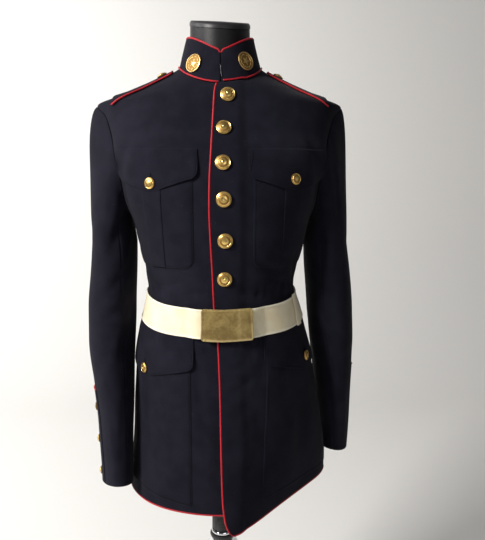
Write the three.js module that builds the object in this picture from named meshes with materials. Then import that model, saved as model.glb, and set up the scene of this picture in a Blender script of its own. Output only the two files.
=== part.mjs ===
import * as THREE from 'three';

// Millimetres, +Z up, the coat's front faces -Y, the wearer's left is +X.
const NECK_HEIGHT = 1375;
const CLOTH = 2;
const SEAM = 0.4;
const LIFT = 1.4;
const LAYER = 0.8;
const DEG = Math.PI / 180;

// Small pieces stand this far off what they lie on.
const REST_GAP = 0.6;

const CLOTH_COLOUR = 0x17171f;
const PIPING_COLOUR = 0xb8243a;
const GOLD_COLOUR = 0xc79a3a;
const WEB_COLOUR = 0xeee6c8;
const BLACK_COLOUR = 0x101010;
const CHROME_COLOUR = 0xc8ccd0;

// Horizontal sections of the coat's outer face, heights measured from the front neck seam.
const BODY_COLUMNS = ['z', 'left', 'right', 'front', 'back', 'shift', 'square', 'squareLeft', 'ridge'];
const BODY_ROWS = [
  [-790, 209, 186, 139, 143, 6, 2.1, 1.45, 0],
  [-760, 209, 185, 139, 142, 6, 2.1, 1.5, 0],
  [-700, 206, 177, 140, 140, 7, 2.1, 1.6, 0],
  [-620, 197, 168, 142, 134, 8, 2.1, 1.75, 0],
  [-560, 186, 166, 142, 128, 7, 2.1, 1.9, 0],
  [-500, 173, 163, 141, 118, 5, 2.15, 2.1, 0],
  [-440, 160, 156, 138, 106, 2, 2.2, 2.2, 0],
  [-400, 149, 145, 134, 97, 0, 2.25, 2.25, 0],
  [-360, 138, 138, 134, 92, 0, 2.3, 2.3, 0],
  [-325, 142, 141, 138, 92, 0, 2.3, 2.3, 0],
  [-280, 154, 153, 146, 98, 0, 2.35, 2.35, 0],
  [-240, 163, 161, 152, 103, 0, 2.4, 2.4, 0],
  [-193, 180, 180, 156, 108, 0, 2.4, 2.4, 0],
  [-133, 198, 198, 147, 112, 0, 2.4, 2.4, 0],
  [-75, 211, 211, 119, 108, 0, 2.3, 2.3, -0.3],
  [-45, 219, 219, 109, 103, 0, 2.1, 2.1, -0.45],
  [-26, 226, 226, 102, 97, 0, 2.0, 2.0, -0.5],
  [-3, 168, 168, 94, 89, 0, 2.0, 2.0, -0.6],
  [16, 122.4, 122.4, 81, 78, 0, 2.0, 2.0, -0.55],
  [41, 74.5, 74.5, 60, 60, 0, 2.0, 2.0, -0.1],
  [60, 60, 60, 50, 50, 0, 2.0, 2.0, 0],
];
const NECK_SIDE_Z = 41;
const NECK_BACK_Z = 34;
const NECK_POWER = 2;

// The wearer's left front laps over the right one. Its piped edge, x at each height.
const LAP_EDGE = [
  [-790, 14], [-768, 10], [-750, 5], [-706, 0], [-621, -2], [-536, -3], [-443, -6], [-382, -12],
  [-312, -14.8], [-261, -17.2], [-211, -18.8], [-163, -18], [-115, -15.2], [-48, -11.2], [-11, -8.4],
  [0, -5], [10, -4],
];
const UNDER_EDGE_X = 22;
const LAP_RISE = 3.4;
const LEFT_HEM = -768;
const RIGHT_HEM = -755;
const SIDE_HEM = { left: -738, right: -750 };
const BACK_HEM = -748;

// Armhole seam: turn round the sleeve, height, share of the front (plus) or back (minus) depth.
const ARMHOLE = [
  [0, -26, 0], [30, -48, 0.27], [60, -88, 0.43], [90, -138, 0.49], [120, -182, 0.42], [150, -218, 0.24],
  [180, -232, 0], [210, -222, -0.26], [240, -188, -0.44], [270, -138, -0.56], [300, -88, -0.52],
  [330, -48, -0.33], [360, -26, 0],
];
const SIDE_SEAM = [[-790, 104], [-400, 102], [-300, 97], [-232, 90]];

// Sleeve sections below the armhole: z, x, y, half width, half depth, turn, tilt.
const SLEEVE_RIGHT = [
  [-275, 202, 2, 41, 70, 0, 0],
  [-330, 205, 0, 43, 68, 2, 0],
  [-400, 209.5, -4, 45, 65, 5, 0],
  [-460, 210.5, -12, 44, 62, 8, 0.02],
  [-540, 206, -26, 38, 58, 11, 0.06],
  [-620, 203, -37, 32, 54, 14, 0.12],
  [-700, 202, -46, 28.5, 51, 17, 0.2],
  [-732, 202, -50, 27.5, 50, 18, 0.25],
];
const SLEEVE_LEFT = [
  [-275, 201, 4, 40, 70, 0, 0],
  [-330, 207, 8, 43, 68, 0, 0],
  [-400, 214, 12, 44, 65, 0, 0],
  [-460, 219, 16, 42.5, 62, -3, 0],
  [-540, 224, 24, 36.5, 58, -6, 0],
  [-620, 229, 33, 31.5, 54, -8, 0.02],
  [-680, 231, 40, 29, 51, -10, 0.05],
  [-706, 231, 42, 28.5, 50, -10, 0.06],
];
const ARM_SPLIT_FRONT = 120;
const ARM_SPLIT_BACK = 240;

// Front buttons: x, z and how far the back of each stands off the section.
const BUTTONS = [
  [11, -22, 0.8], [4, -79, 1.2], [2, -136, 0.5], [3, -194, 0.4], [5, -261, 0.4], [4, -327, 0.7],
];
const BUTTON_RADIUS = 12.7;
const POCKET_BUTTON_RADIUS = 9.5;
const CUFF_BUTTON_RADIUS = 7.5;

// Collar discs: turn from the centre front, share of the collar's height, stand-off.
const DISCS = [['right', 324.5, 0.36, 0.7], ['left', 33, 0.44, 0.4]];

// The left front's lower corner springs forward by this much.
const CORNER_SPRING = 46;
const SPRING_HEIGHTS = [-440, -790];
const SPRING_TURN = [-4, 62];
const LAP_FADE_X = [26, 44];

const BELT_HEIGHT = 51;
const BELT_THICK = 2.4;
const BELT_TABLE = [[0, -406], [40, -402], [90, -389], [180, -386]];

const blend = (a, b, t) => a + (b - a) * t;
const smooth = (a, b, x) => {
  const t = Math.min(1, Math.max(0, (x - a) / (b - a)));
  return t * t * (3 - 2 * t);
};

// Monotone cubic through a table of pairs.
function curve(xs, ys) {
  const n = xs.length;
  const h = [];
  const d = [];
  for (let i = 0; i < n - 1; i += 1) {
    h.push(xs[i + 1] - xs[i]);
    d.push((ys[i + 1] - ys[i]) / h[i]);
  }
  const m = [d[0]];
  for (let i = 1; i < n - 1; i += 1) {
    if (d[i - 1] * d[i] <= 0) {
      m.push(0);
    } else {
      const w1 = 2 * h[i] + h[i - 1];
      const w2 = h[i] + 2 * h[i - 1];
      m.push((w1 + w2) / (w1 / d[i - 1] + w2 / d[i]));
    }
  }
  m.push(d[n - 2]);
  return (x) => {
    let i = 0;
    while (i < n - 2 && x > xs[i + 1]) i += 1;
    const t = Math.min(1.5, Math.max(-0.5, (x - xs[i]) / h[i]));
    const a = 2 * t * t * t - 3 * t * t + 1;
    const b = t * t * t - 2 * t * t + t;
    const c = -2 * t * t * t + 3 * t * t;
    const e = t * t * t - t * t;
    return a * ys[i] + b * h[i] * m[i] + c * ys[i + 1] + e * h[i] * m[i + 1];
  };
}
const tableCurve = (rows, column) => curve(rows.map((r) => r[0]), rows.map((r) => r[column]));

const body = {};
BODY_COLUMNS.slice(1).forEach((name, i) => {
  body[name] = tableCurve(BODY_ROWS, i + 1);
});
const lapEdgeX = tableCurve(LAP_EDGE, 1);
const armholeZ = tableCurve(ARMHOLE, 1);
const armholeShare = tableCurve(ARMHOLE, 2);
const sideSeamAngle = tableCurve(SIDE_SEAM, 1);
const beltZ = tableCurve(BELT_TABLE, 1);

// Plan radius where (x / wide) ** across + (y / deep) ** along is 1, by Newton's steps.
function roundedRadius(s, c, wide, deep, across, along) {
  let r = 1 / Math.max(s / wide, c / deep);
  for (let i = 0; i < 30; i += 1) {
    const a = (r * s / wide) ** across;
    const b = (r * c / deep) ** along;
    const step = ((a + b - 1) * r) / (across * a + along * b);
    r -= step;
    if (Math.abs(step) < 1e-7) break;
  }
  return r;
}

function sectionShape(z, onLeft, onFront) {
  const across = onLeft ? body.squareLeft(z) : body.square(z);
  return {
    wide: onLeft ? body.left(z) : body.right(z),
    deep: onFront ? body.front(z) + body.shift(z) : body.back(z) - body.shift(z),
    across,
    along: across + body.ridge(z),
  };
}

function sectionRadius(degrees, z) {
  const s = Math.sin(degrees * DEG);
  const c = Math.cos(degrees * DEG);
  const f = sectionShape(z, s >= 0, c >= 0);
  return roundedRadius(Math.abs(s), Math.abs(c), f.wide, f.deep, f.across, f.along);
}

// The base section, plus the lap and the forward spring of the left front's lower corner.
function plainPoint(degrees, z, lapped) {
  const r = sectionRadius(degrees, z);
  const p = new THREE.Vector3(r * Math.sin(degrees * DEG), body.shift(z) - r * Math.cos(degrees * DEG), z);
  if (lapped && degrees > -60) {
    p.y -= CORNER_SPRING * smooth(...SPRING_HEIGHTS, z) * (1 - smooth(...SPRING_TURN, degrees));
  }
  return p;
}

function coatFrame(degrees, z, lapped) {
  const e = 0.05;
  const p = plainPoint(degrees, z, lapped);
  const a = plainPoint(degrees + e, z, lapped).sub(plainPoint(degrees - e, z, lapped));
  const b = plainPoint(degrees, z + 0.2, lapped).sub(plainPoint(degrees, z - 0.2, lapped));
  const n = a.cross(b).normalize();
  const rise = lapped ? LAP_RISE * (1 - smooth(...LAP_FADE_X, p.x)) : 0;
  return { p: p.addScaledVector(n, rise), n };
}

function coatPoint(degrees, z, out, lapped = false) {
  const f = coatFrame(degrees, z, lapped);
  return f.p.addScaledVector(f.n, out);
}

function angleAtX(x, z, lapped = false) {
  let angle = 0;
  for (let i = 0; i < 12; i += 1) {
    const p = plainPoint(angle, z, lapped);
    const q = plainPoint(angle + 0.1, z, lapped);
    angle += ((x - p.x) / (q.x - p.x)) * 0.1;
  }
  return angle;
}

// Angle at a distance measured along the section from the centre front.
function angleAtArc(side, arc, z, lapped) {
  let total = 0;
  let last = plainPoint(0, z, lapped);
  for (let angle = 1; angle < 178; angle += 1) {
    const p = plainPoint(side * angle, z, lapped);
    const step = p.distanceTo(last);
    if (total + step >= arc) return side * (angle - 1 + (arc - total) / step);
    total += step;
    last = p;
  }
  return side * 178;
}

function shareAngle(z, share, side) {
  const f = sectionShape(z, side > 0, share >= 0);
  const q = Math.abs(share);
  const x = f.wide * (1 - q ** f.along) ** (1 / f.across);
  return Math.atan2(x, Math.sign(share || 1) * q * f.deep) / DEG;
}

const neckRise = (u, power = 1.5) => Math.sin(u * 90 * DEG) ** power;
function neckZ(degrees) {
  const a = Math.abs(degrees);
  if (a <= 90) return NECK_SIDE_Z * neckRise(a / 90, NECK_POWER);
  return NECK_BACK_Z + (NECK_SIDE_Z - NECK_BACK_Z) * neckRise((180 - a) / 90);
}

function material(name, colour, metal = 0, rough = 0.85) {
  const m = new THREE.MeshStandardMaterial({ color: colour, metalness: metal, roughness: rough });
  m.name = name;
  return m;
}

const group = new THREE.Group();
group.name = 'dress_uniform';

function orient(geometry) {
  const pos = geometry.getAttribute('position');
  const index = geometry.getIndex().array;
  const a = new THREE.Vector3();
  const b = new THREE.Vector3();
  const c = new THREE.Vector3();
  let volume = 0;
  for (let i = 0; i < index.length; i += 3) {
    a.fromBufferAttribute(pos, index[i]);
    b.fromBufferAttribute(pos, index[i + 1]);
    c.fromBufferAttribute(pos, index[i + 2]);
    volume += a.dot(b.cross(c)) / 6;
  }
  if (volume < 0) {
    for (let i = 0; i < index.length; i += 3) {
      const t = index[i];
      index[i] = index[i + 1];
      index[i + 1] = t;
    }
  }
  geometry.computeVertexNormals();
  return geometry;
}

function solid(points, faces) {
  const geometry = new THREE.BufferGeometry();
  const flat = new Float32Array(points.length * 3);
  points.forEach((p, i) => p.toArray(flat, i * 3));
  geometry.setAttribute('position', new THREE.BufferAttribute(flat, 3));
  geometry.setIndex(faces);
  return orient(geometry);
}

// A sheet from a grid of framed points, with its wall turned inward and its edges closed.
function sheet(cols, rows, at, thick, round = false) {
  const points = [];
  const faces = [];
  const wide = round ? cols : cols + 1;
  const half = wide * (rows + 1);
  const frames = [];
  for (let j = 0; j <= rows; j += 1) {
    for (let i = 0; i < wide; i += 1) frames.push(at(i / cols, j / rows));
  }
  frames.forEach((f) => points.push(f.p.clone()));
  frames.forEach((f) => points.push(f.p.clone().addScaledVector(f.n, -thick)));
  const id = (i, j) => j * wide + (round ? i % cols : i);
  const quad = (a, b, c, d) => faces.push(a, b, c, a, c, d);
  for (let j = 0; j < rows; j += 1) {
    for (let i = 0; i < cols; i += 1) {
      quad(id(i, j), id(i + 1, j), id(i + 1, j + 1), id(i, j + 1));
      quad(half + id(i, j), half + id(i, j + 1), half + id(i + 1, j + 1), half + id(i + 1, j));
    }
  }
  for (let i = 0; i < cols; i += 1) {
    quad(id(i, 0), half + id(i, 0), half + id(i + 1, 0), id(i + 1, 0));
    quad(id(i, rows), id(i + 1, rows), half + id(i + 1, rows), half + id(i, rows));
  }
  if (!round) {
    for (let j = 0; j < rows; j += 1) {
      quad(id(0, j), id(0, j + 1), half + id(0, j + 1), half + id(0, j));
      quad(id(cols, j), half + id(cols, j), half + id(cols, j + 1), id(cols, j + 1));
    }
  }
  return solid(points, faces);
}

function tube(path, radius, sides = 5, closed = false) {
  const count = path.length;
  const points = [];
  const faces = [];
  const tangent = (k) => {
    const a = path[closed ? (k + count - 1) % count : Math.max(0, k - 1)];
    const b = path[closed ? (k + 1) % count : Math.min(count - 1, k + 1)];
    return b.clone().sub(a).normalize();
  };
  let normal = new THREE.Vector3(0, 0, 1);
  if (Math.abs(tangent(0).dot(normal)) > 0.8) normal = new THREE.Vector3(0, 1, 0);
  for (let k = 0; k < count; k += 1) {
    const t = tangent(k);
    normal = normal.clone().addScaledVector(t, -normal.dot(t)).normalize();
    const across = t.clone().cross(normal);
    for (let s = 0; s < sides; s += 1) {
      const a = (s / sides) * 2 * Math.PI;
      points.push(path[k].clone().addScaledVector(normal, radius * Math.cos(a))
        .addScaledVector(across, radius * Math.sin(a)));
    }
  }
  const spans = closed ? count : count - 1;
  for (let k = 0; k < spans; k += 1) {
    for (let s = 0; s < sides; s += 1) {
      const a = k * sides + s;
      const b = k * sides + ((s + 1) % sides);
      const c = ((k + 1) % count) * sides + ((s + 1) % sides);
      const d = ((k + 1) % count) * sides + s;
      faces.push(a, b, c, a, c, d);
    }
  }
  if (!closed) {
    for (let s = 1; s < sides - 1; s += 1) {
      faces.push(0, s + 1, s);
      const e = (count - 1) * sides;
      faces.push(e, e + s, e + s + 1);
    }
  }
  return solid(points, faces);
}

function add(name, geometry, mat) {
  geometry.translate(0, 0, NECK_HEIGHT);
  const mesh = new THREE.Mesh(geometry, mat);
  mesh.name = name;
  group.add(mesh);
  return mesh;
}

const cloth = () => material('wool_cloth', CLOTH_COLOUR);
const piping = () => material('red_piping', PIPING_COLOUR, 0, 0.7);
const gold = () => material('gilt_button', GOLD_COLOUR, 1, 0.3);

// Fronts and backs.
const easeColumn = (u) => blend(u, 1 - (1 - u) * (1 - u), 0.45);
const halfSeam = (z, degrees) => ((SEAM / 2) / sectionRadius(degrees, z)) / DEG;

// Row heights between the hem and the underarm, closer together at the waist.
const SIDE_LEVELS = [-685, -615, -545, -480, -430, -395, -362, -332, -300, -266];
function sideLevel(hem, top, k) {
  const levels = [hem, ...SIDE_LEVELS, top];
  const at = k * (levels.length - 1);
  const i = Math.min(levels.length - 2, Math.floor(at + 1e-6));
  return blend(levels[i], levels[i + 1], at - i);
}

function lateralPoint(v, back, side) {
  // v 0..0.44 side seam, 0.44..0.8 armhole, 0.8..1 shoulder seam
  const swap = back ? -1 : 1;
  if (v <= 0.44) {
    const z = sideLevel(side > 0 ? SIDE_HEM.left : SIDE_HEM.right, -232, v / 0.44);
    const a = sideSeamAngle(z);
    return { z, a: a - swap * halfSeam(z, a) };
  }
  if (v <= 0.8) {
    const k = (v - 0.44) / 0.36;
    const turn = back ? 180 + 180 * k : 180 - 180 * k;
    const z = armholeZ(turn);
    const share = armholeShare(turn);
    const a = shareAngle(z, share, side);
    const near = Math.max(0, 1 - Math.min(k, 1 - k) * 12);
    return { z, a: a - swap * near * halfSeam(z, 90) };
  }
  const z = blend(-26, NECK_SIDE_Z, (v - 0.8) / 0.2);
  return { z, a: 90 - swap * halfSeam(z, 90) };
}

function frontGrid(side) {
  const lapped = side > 0;
  const hem = lapped ? LEFT_HEM : RIGHT_HEM;
  return (u, v) => {
    const edge = lateralPoint(v, false, side);
    let z = hem;
    if (v <= 0.44) z = sideLevel(hem, -236, v / 0.44);
    else if (v <= 0.8) z = blend(-236, -72, (v - 0.44) / 0.36);
    else z = blend(-72, 0, (v - 0.8) / 0.2);
    const edgeX = lapped ? lapEdgeX(z) : -UNDER_EDGE_X;
    const start = side * angleAtX(edgeX, z, lapped);
    const w = easeColumn(u);
    const angle = side * blend(lapped ? start : -Math.abs(start), edge.a, w);
    const power = blend(1.5, NECK_POWER, smooth(0.8, 1, v));
    const height = blend(z, edge.z, neckRise(Math.max(0, side * angle) / edge.a, power));
    return coatFrame(angle, height, lapped);
  };
}

function backGrid(side) {
  return (u, v) => {
    const edge = lateralPoint(v, true, side);
    let z = BACK_HEM;
    if (v <= 0.44) z = sideLevel(BACK_HEM, -236, v / 0.44);
    else if (v <= 0.8) z = blend(-236, -50, (v - 0.44) / 0.36);
    else z = blend(-50, NECK_BACK_Z, (v - 0.8) / 0.2);
    const start = 180 - halfSeam(z, 180);
    const w = easeColumn(u);
    const angle = side * blend(start, edge.a, w);
    const height = blend(z, edge.z, neckRise((180 - side * angle) / (180 - edge.a)));
    return coatFrame(angle, height, false);
  };
}

const ROW_COUNT = 25;
add('front_left', sheet(14, ROW_COUNT, frontGrid(1), CLOTH), cloth());
add('front_right', sheet(14, ROW_COUNT, frontGrid(-1), CLOTH), cloth());
add('back_left', sheet(8, ROW_COUNT, backGrid(1), CLOTH), cloth());
add('back_right', sheet(8, ROW_COUNT, backGrid(-1), CLOTH), cloth());

// Sleeves, a top and an under piece each.
function sleeveFrame(side, rows, crownSpring) {
  const stations = [...rows].reverse();
  const get = [1, 2, 3, 4, 5, 6].map((c) => tableCurve(stations, c));
  const first = rows[0][0];
  const last = rows[rows.length - 1][0];
  const ring = (turn, z) => {
    const [x, y, wide, deep, twist, tilt] = get.map((g) => g(z));
    const a = turn * DEG;
    const t = twist * DEG;
    const lx = wide * Math.cos(a);
    const ly = -deep * Math.sin(a);
    const px = lx * Math.cos(t) + ly * Math.sin(t);
    const py = -lx * Math.sin(t) + ly * Math.cos(t);
    return new THREE.Vector3(side * (x + px), y + py, z - tilt * py);
  };
  const start = (turn) => {
    const whole = (turn + 360) % 360;
    const z = armholeZ(whole);
    const share = armholeShare(whole);
    const angle = side * shareAngle(z, share, side);
    const p = plainPoint(angle, z, false);
    p.x += side * 0.7;
    return p;
  };
  const point = (turn, t) => {
    if (t >= 0.3) return ring(turn, blend(first, last, (t - 0.3) / 0.7));
    const k = t / 0.3;
    const a = start(turn);
    const b = ring(turn, first);
    const crown = 0.5 + 0.5 * Math.cos(turn * DEG);
    const span = b.z - a.z;
    const ta = new THREE.Vector3(side * (14 + crownSpring * crown ** 1.5), 0, -16 - 10 * crown);
    const tb = new THREE.Vector3(0, 0, span * 0.8);
    const k2 = k * k;
    const k3 = k2 * k;
    return a.multiplyScalar(2 * k3 - 3 * k2 + 1).addScaledVector(ta, k3 - 2 * k2 + k)
      .addScaledVector(b, -2 * k3 + 3 * k2).addScaledVector(tb, k3 - k2);
  };
  return (turn, t) => {
    const e = 0.001;
    const p = point(turn, t);
    const a = point(turn + 0.5, t).sub(point(turn - 0.5, t));
    const b = point(turn, Math.min(1, t + e)).sub(point(turn, Math.max(0, t - e)));
    const n = a.cross(b).normalize().multiplyScalar(side);
    return { p, n };
  };
}

const sleeves = { left: sleeveFrame(1, SLEEVE_LEFT, 24), right: sleeveFrame(-1, SLEEVE_RIGHT, 60) };
const seamTurn = 0.2;
for (const side of ['left', 'right']) {
  const at = sleeves[side];
  const rows = 15;
  const rowAt = (v) => (v < 0.4 ? (v / 0.4) * 0.3 : 0.3 + ((v - 0.4) / 0.6) * 0.7);
  const top = (u, v) => at(blend(ARM_SPLIT_BACK - 360 + seamTurn, ARM_SPLIT_FRONT - seamTurn, u), rowAt(v));
  const under = (u, v) => at(blend(ARM_SPLIT_FRONT + seamTurn, ARM_SPLIT_BACK - seamTurn, u), rowAt(v));
  add(`top_sleeve_${side}`, sheet(12, rows, top, CLOTH), cloth());
  add(`under_sleeve_${side}`, sheet(6, rows, under, CLOTH), cloth());
}

// Standing collar, open at the centre front.
const COLLAR_THICK = 3;
const COLLAR_TOP = { side: 62, front: 85, back: 52, frontZ: 53.5, sideZ: 90, backZ: 86 };
function collarTop(degrees) {
  const a = degrees > 180 ? 360 - degrees : degrees;
  const s = Math.sin(degrees * DEG);
  const c = Math.cos(degrees * DEG);
  const rise = Math.sin(Math.min(a, 180 - a) * DEG) ** 1.25;
  const low = a <= 90 ? COLLAR_TOP.frontZ : COLLAR_TOP.backZ;
  const deep = c > 0 ? COLLAR_TOP.front : COLLAR_TOP.back;
  return new THREE.Vector3(COLLAR_TOP.side * s, -deep * c, blend(low, COLLAR_TOP.sideZ, rise));
}
function collarPoint(degrees, v) {
  const wrapped = degrees > 180 ? degrees - 360 : degrees;
  const low = plainPoint(wrapped, neckZ(wrapped), false);
  low.z += SEAM + 0.5;
  return low.lerp(collarTop(degrees), v);
}
function collarFrame(degrees, v) {
  const p = collarPoint(degrees, v);
  const a = collarPoint(degrees + 0.2, v).sub(collarPoint(degrees - 0.2, v));
  const b = collarPoint(degrees, v + 0.01).sub(collarPoint(degrees, v - 0.01));
  return { p, n: a.cross(b).normalize() };
}
const collarAngle = (u) => blend(0.5, 359.5, u);
add('collar', sheet(28, 2, (u, v) => collarFrame(collarAngle(u), v), COLLAR_THICK), cloth());

const PIPE = 1.4;
const topPath = [];
for (let i = 0; i <= 36; i += 1) {
  const f = collarFrame(collarAngle(i / 36), 1);
  topPath.push(f.p.addScaledVector(f.n, -COLLAR_THICK / 2).add(new THREE.Vector3(0, 0, PIPE + 0.7)));
}
add('collar_piping', tube(topPath, PIPE), piping());

const neckPath = [];
for (let i = 0; i <= 36; i += 1) {
  const a = blend(3, 357, i / 36);
  const f = collarFrame(a, 0);
  const lap = 1 - smooth(20, 30, a);
  const flat = new THREE.Vector3(f.n.x, f.n.y, 0).normalize();
  neckPath.push(f.p.addScaledVector(flat, PIPE + 0.6).add(new THREE.Vector3(0, 0, PIPE + 0.4 + 2.8 * lap)));
}
add('neck_piping', tube(neckPath, PIPE), piping());

// Piped front edge and hem of the left front, and the hem of the rest.
const leftGrid = frontGrid(1);
const rightGrid = frontGrid(-1);
const edgePath = [];
for (let i = ROW_COUNT; i >= 1; i -= 1) {
  const v = i === ROW_COUNT ? 0.985 : i / ROW_COUNT;
  const f = leftGrid(0, v);
  const side = f.p.clone().sub(leftGrid(0.01, v).p).normalize();
  edgePath.push(f.p.addScaledVector(f.n, -CLOTH / 2).addScaledVector(side, PIPE + 0.7));
}
const hemDrop = new THREE.Vector3(0, 0, -PIPE - 0.7);
const corner = leftGrid(0, 0);
edgePath.push(corner.p.addScaledVector(corner.n, -CLOTH / 2).add(new THREE.Vector3(-PIPE, 0, -PIPE)));
for (let i = 0; i <= 14; i += 1) {
  const f = leftGrid(blend(0.03, 0.998, i / 14), 0);
  edgePath.push(f.p.addScaledVector(f.n, -CLOTH / 2).add(hemDrop));
}
add('front_piping', tube(edgePath, PIPE), piping());

const hemPath = [];
for (let i = 0; i <= 14; i += 1) {
  const f = rightGrid(blend(0.04, 1, i / 14), 0);
  hemPath.push(f.p.addScaledVector(f.n, -CLOTH / 2).add(hemDrop));
}
for (const side of [-1, 1]) {
  const grid = backGrid(side);
  for (let i = 1; i <= 9; i += 1) {
    const u = side < 0 ? 1 - i / 9.5 : i / 9.2;
    const f = grid(u, 0);
    hemPath.push(f.p.addScaledVector(f.n, -CLOTH / 2).add(hemDrop));
  }
}
add('hem_piping', tube(hemPath, PIPE), piping());

// Turned metal pieces set on a framed point.
function lathe(profile, turns = 14) {
  return new THREE.LatheGeometry(profile.map(([r, h]) => new THREE.Vector2(r, h)), turns)
    .rotateX(Math.PI / 2);
}
function seat(geometry, frame, out) {
  const turn = new THREE.Quaternion().setFromUnitVectors(new THREE.Vector3(0, 0, 1), frame.n);
  const at = frame.p.clone().addScaledVector(frame.n, out);
  return geometry.applyMatrix4(new THREE.Matrix4().compose(at, turn, new THREE.Vector3(1, 1, 1)));
}
const buttonProfile = (r) => [
  [0, 0], [0.94 * r, 0], [r, 0.1 * r], [0.72 * r, 0.36 * r], [0, 0.48 * r],
];
function button(name, frame, r, out, turns = 14) {
  add(name, seat(lathe(buttonProfile(r), turns), frame, out), gold());
}
BUTTONS.forEach(([x, z, out], i) => {
  button(`front_button_${i + 1}`, coatFrame(angleAtX(x, z, true), z, true), BUTTON_RADIUS, out, 14);
});

const discProfile = [[0, 0], [15.7, 0], [16, 1.2], [14.8, 2], [7, 1.8], [0, 2.4]];
for (const [name, turn, v, out] of DISCS) {
  add(`collar_disc_${name}`, seat(lathe(discProfile, 16), collarFrame(turn, v), out), gold());
}

// Shoulder straps: strips over the shoulder, cut to one width, with a front edge at given heights.
const STRAP = { outer: 190, inner: 87, thick: 2, lift: 2.5, width: 56, taper: 5, farBack: 34 };
const STRAP_EDGE = [
  [76, 29], [88, 22.5], [112, 10], [140, -4.5], [170, -19], [192, -30], [205, -37], [212, -41.5],
];
const strapEdgeZ = curve(STRAP_EDGE.map((r) => r[0]), STRAP_EDGE.map((r) => r[1]));
function onShoulder(side, x, z, front) {
  const wide = side > 0 ? body.left(z) : body.right(z);
  const deep = front ? body.front(z) : body.back(z);
  const across = side > 0 ? body.squareLeft(z) : body.square(z);
  const share = Math.max(0, 1 - (x / wide) ** across) ** (1 / (across + body.ridge(z)));
  return new THREE.Vector3(side * x, (front ? -1 : 1) * deep * share, z);
}
function strapPoint(side, u, k) {
  const x = blend(STRAP.outer, STRAP.inner, u);
  let low = -26;
  let high = 41;
  for (let i = 0; i < 40; i += 1) {
    const z = (low + high) / 2;
    if ((side > 0 ? body.left(z) : body.right(z)) > x) low = z;
    else high = z;
  }
  const edge = strapEdgeZ(x);
  const line = [];
  for (let i = 60; i > 0; i -= 1) {
    const p = onShoulder(side, x, low - (low - edge) * 0.25 * (i / 60) ** 2, false);
    if (p.y < STRAP.farBack) line.push(p);
  }
  for (let i = 0; i <= 120; i += 1) line.push(onShoulder(side, x, low + (edge - low) * (i / 120) ** 2, true));
  const steps = [0];
  for (let i = 1; i < line.length; i += 1) steps.push(steps[i - 1] + line[i].distanceTo(line[i - 1]));
  const length = steps[steps.length - 1];
  const first = Math.max(0, length - STRAP.width + STRAP.taper * u);
  const at = blend(first, length, (k + 1) / 2);
  let i = 1;
  while (i < line.length - 1 && steps[i] < at) i += 1;
  return line[i - 1].clone().lerp(line[i], (at - steps[i - 1]) / (steps[i] - steps[i - 1]));
}
function strapFrame(side, u, k, out) {
  const p = strapPoint(side, u, k);
  const a = strapPoint(side, Math.min(1, u + 0.02), k).sub(strapPoint(side, Math.max(0, u - 0.02), k));
  const b = strapPoint(side, u, Math.min(1, k + 0.05)).sub(strapPoint(side, u, Math.max(-1, k - 0.05)));
  const n = a.cross(b).normalize();
  if (n.z < 0) n.negate();
  return { p: p.addScaledVector(n, out), n };
}
const STRAP_COLS = 14;
const STRAP_ROWS = 8;
for (const [name, side] of [['left', 1], ['right', -1]]) {
  const top = STRAP.lift + STRAP.thick;
  const at = (u, v) => strapFrame(side, u, v * 2 - 1, top);
  add(`strap_${name}`, sheet(STRAP_COLS, STRAP_ROWS, at, STRAP.thick), cloth());
  const middle = top - STRAP.thick / 2;
  const path = [];
  const rim = (u, k, inU, inK) => {
    const high = middle + (k > 0.99 ? 1.5 * (1 - smooth(0, 0.3, u)) : 0);
    const f = strapFrame(side, u, k, high);
    const away = f.p.clone().sub(strapFrame(side, inU, inK, high).p).normalize();
    path.push(f.p.addScaledVector(away, PIPE + 0.8));
  };
  for (let i = 0; i < STRAP_COLS; i += 1) rim(i / STRAP_COLS, -1, i / STRAP_COLS, -0.9);
  rim(1, -1, 0.97, -0.86);
  for (let i = 1; i < 8; i += 1) rim(1, -1 + i / 4, 0.96, -1 + i / 4);
  rim(1, 1, 0.97, 0.86);
  for (let i = STRAP_COLS - 1; i >= 0; i -= 1) rim(i / STRAP_COLS, 1, i / STRAP_COLS, 0.9);
  add(`strap_piping_${name}`, tube(path, 1.2), piping());
  button(`strap_button_${name}`, strapFrame(side, 0.84, 0, top), POCKET_BUTTON_RADIUS, REST_GAP, 12);
}

// Pockets: pieces laid on a front, placed by the distance along its section.
function pieceOn(side, cols, rows, place, out, thick) {
  return sheet(cols, rows, (u, v) => {
    const [arc, z] = place(u, v);
    const f = coatFrame(angleAtArc(side, arc, z, side > 0), z, side > 0);
    f.p.addScaledVector(f.n, out);
    return f;
  }, thick);
}
const cornerLift = (u, width, r) => {
  const d = Math.min(u, 1 - u) * width;
  return d >= r ? 0 : r - Math.sqrt(r * r - (r - d) * (r - d));
};
const BREAST = {
  bag: 1, pleat: 1, flap: 1.4, width: 160, bagInset: 8, pleatHalf: 18, top: -112, point: -182,
  corner: -160, bottom: -311,
};
const SKIRT = { bag: 1.2, flap: 1.4, bagTop: -468, point: -26, farFoot: -721 };
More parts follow.
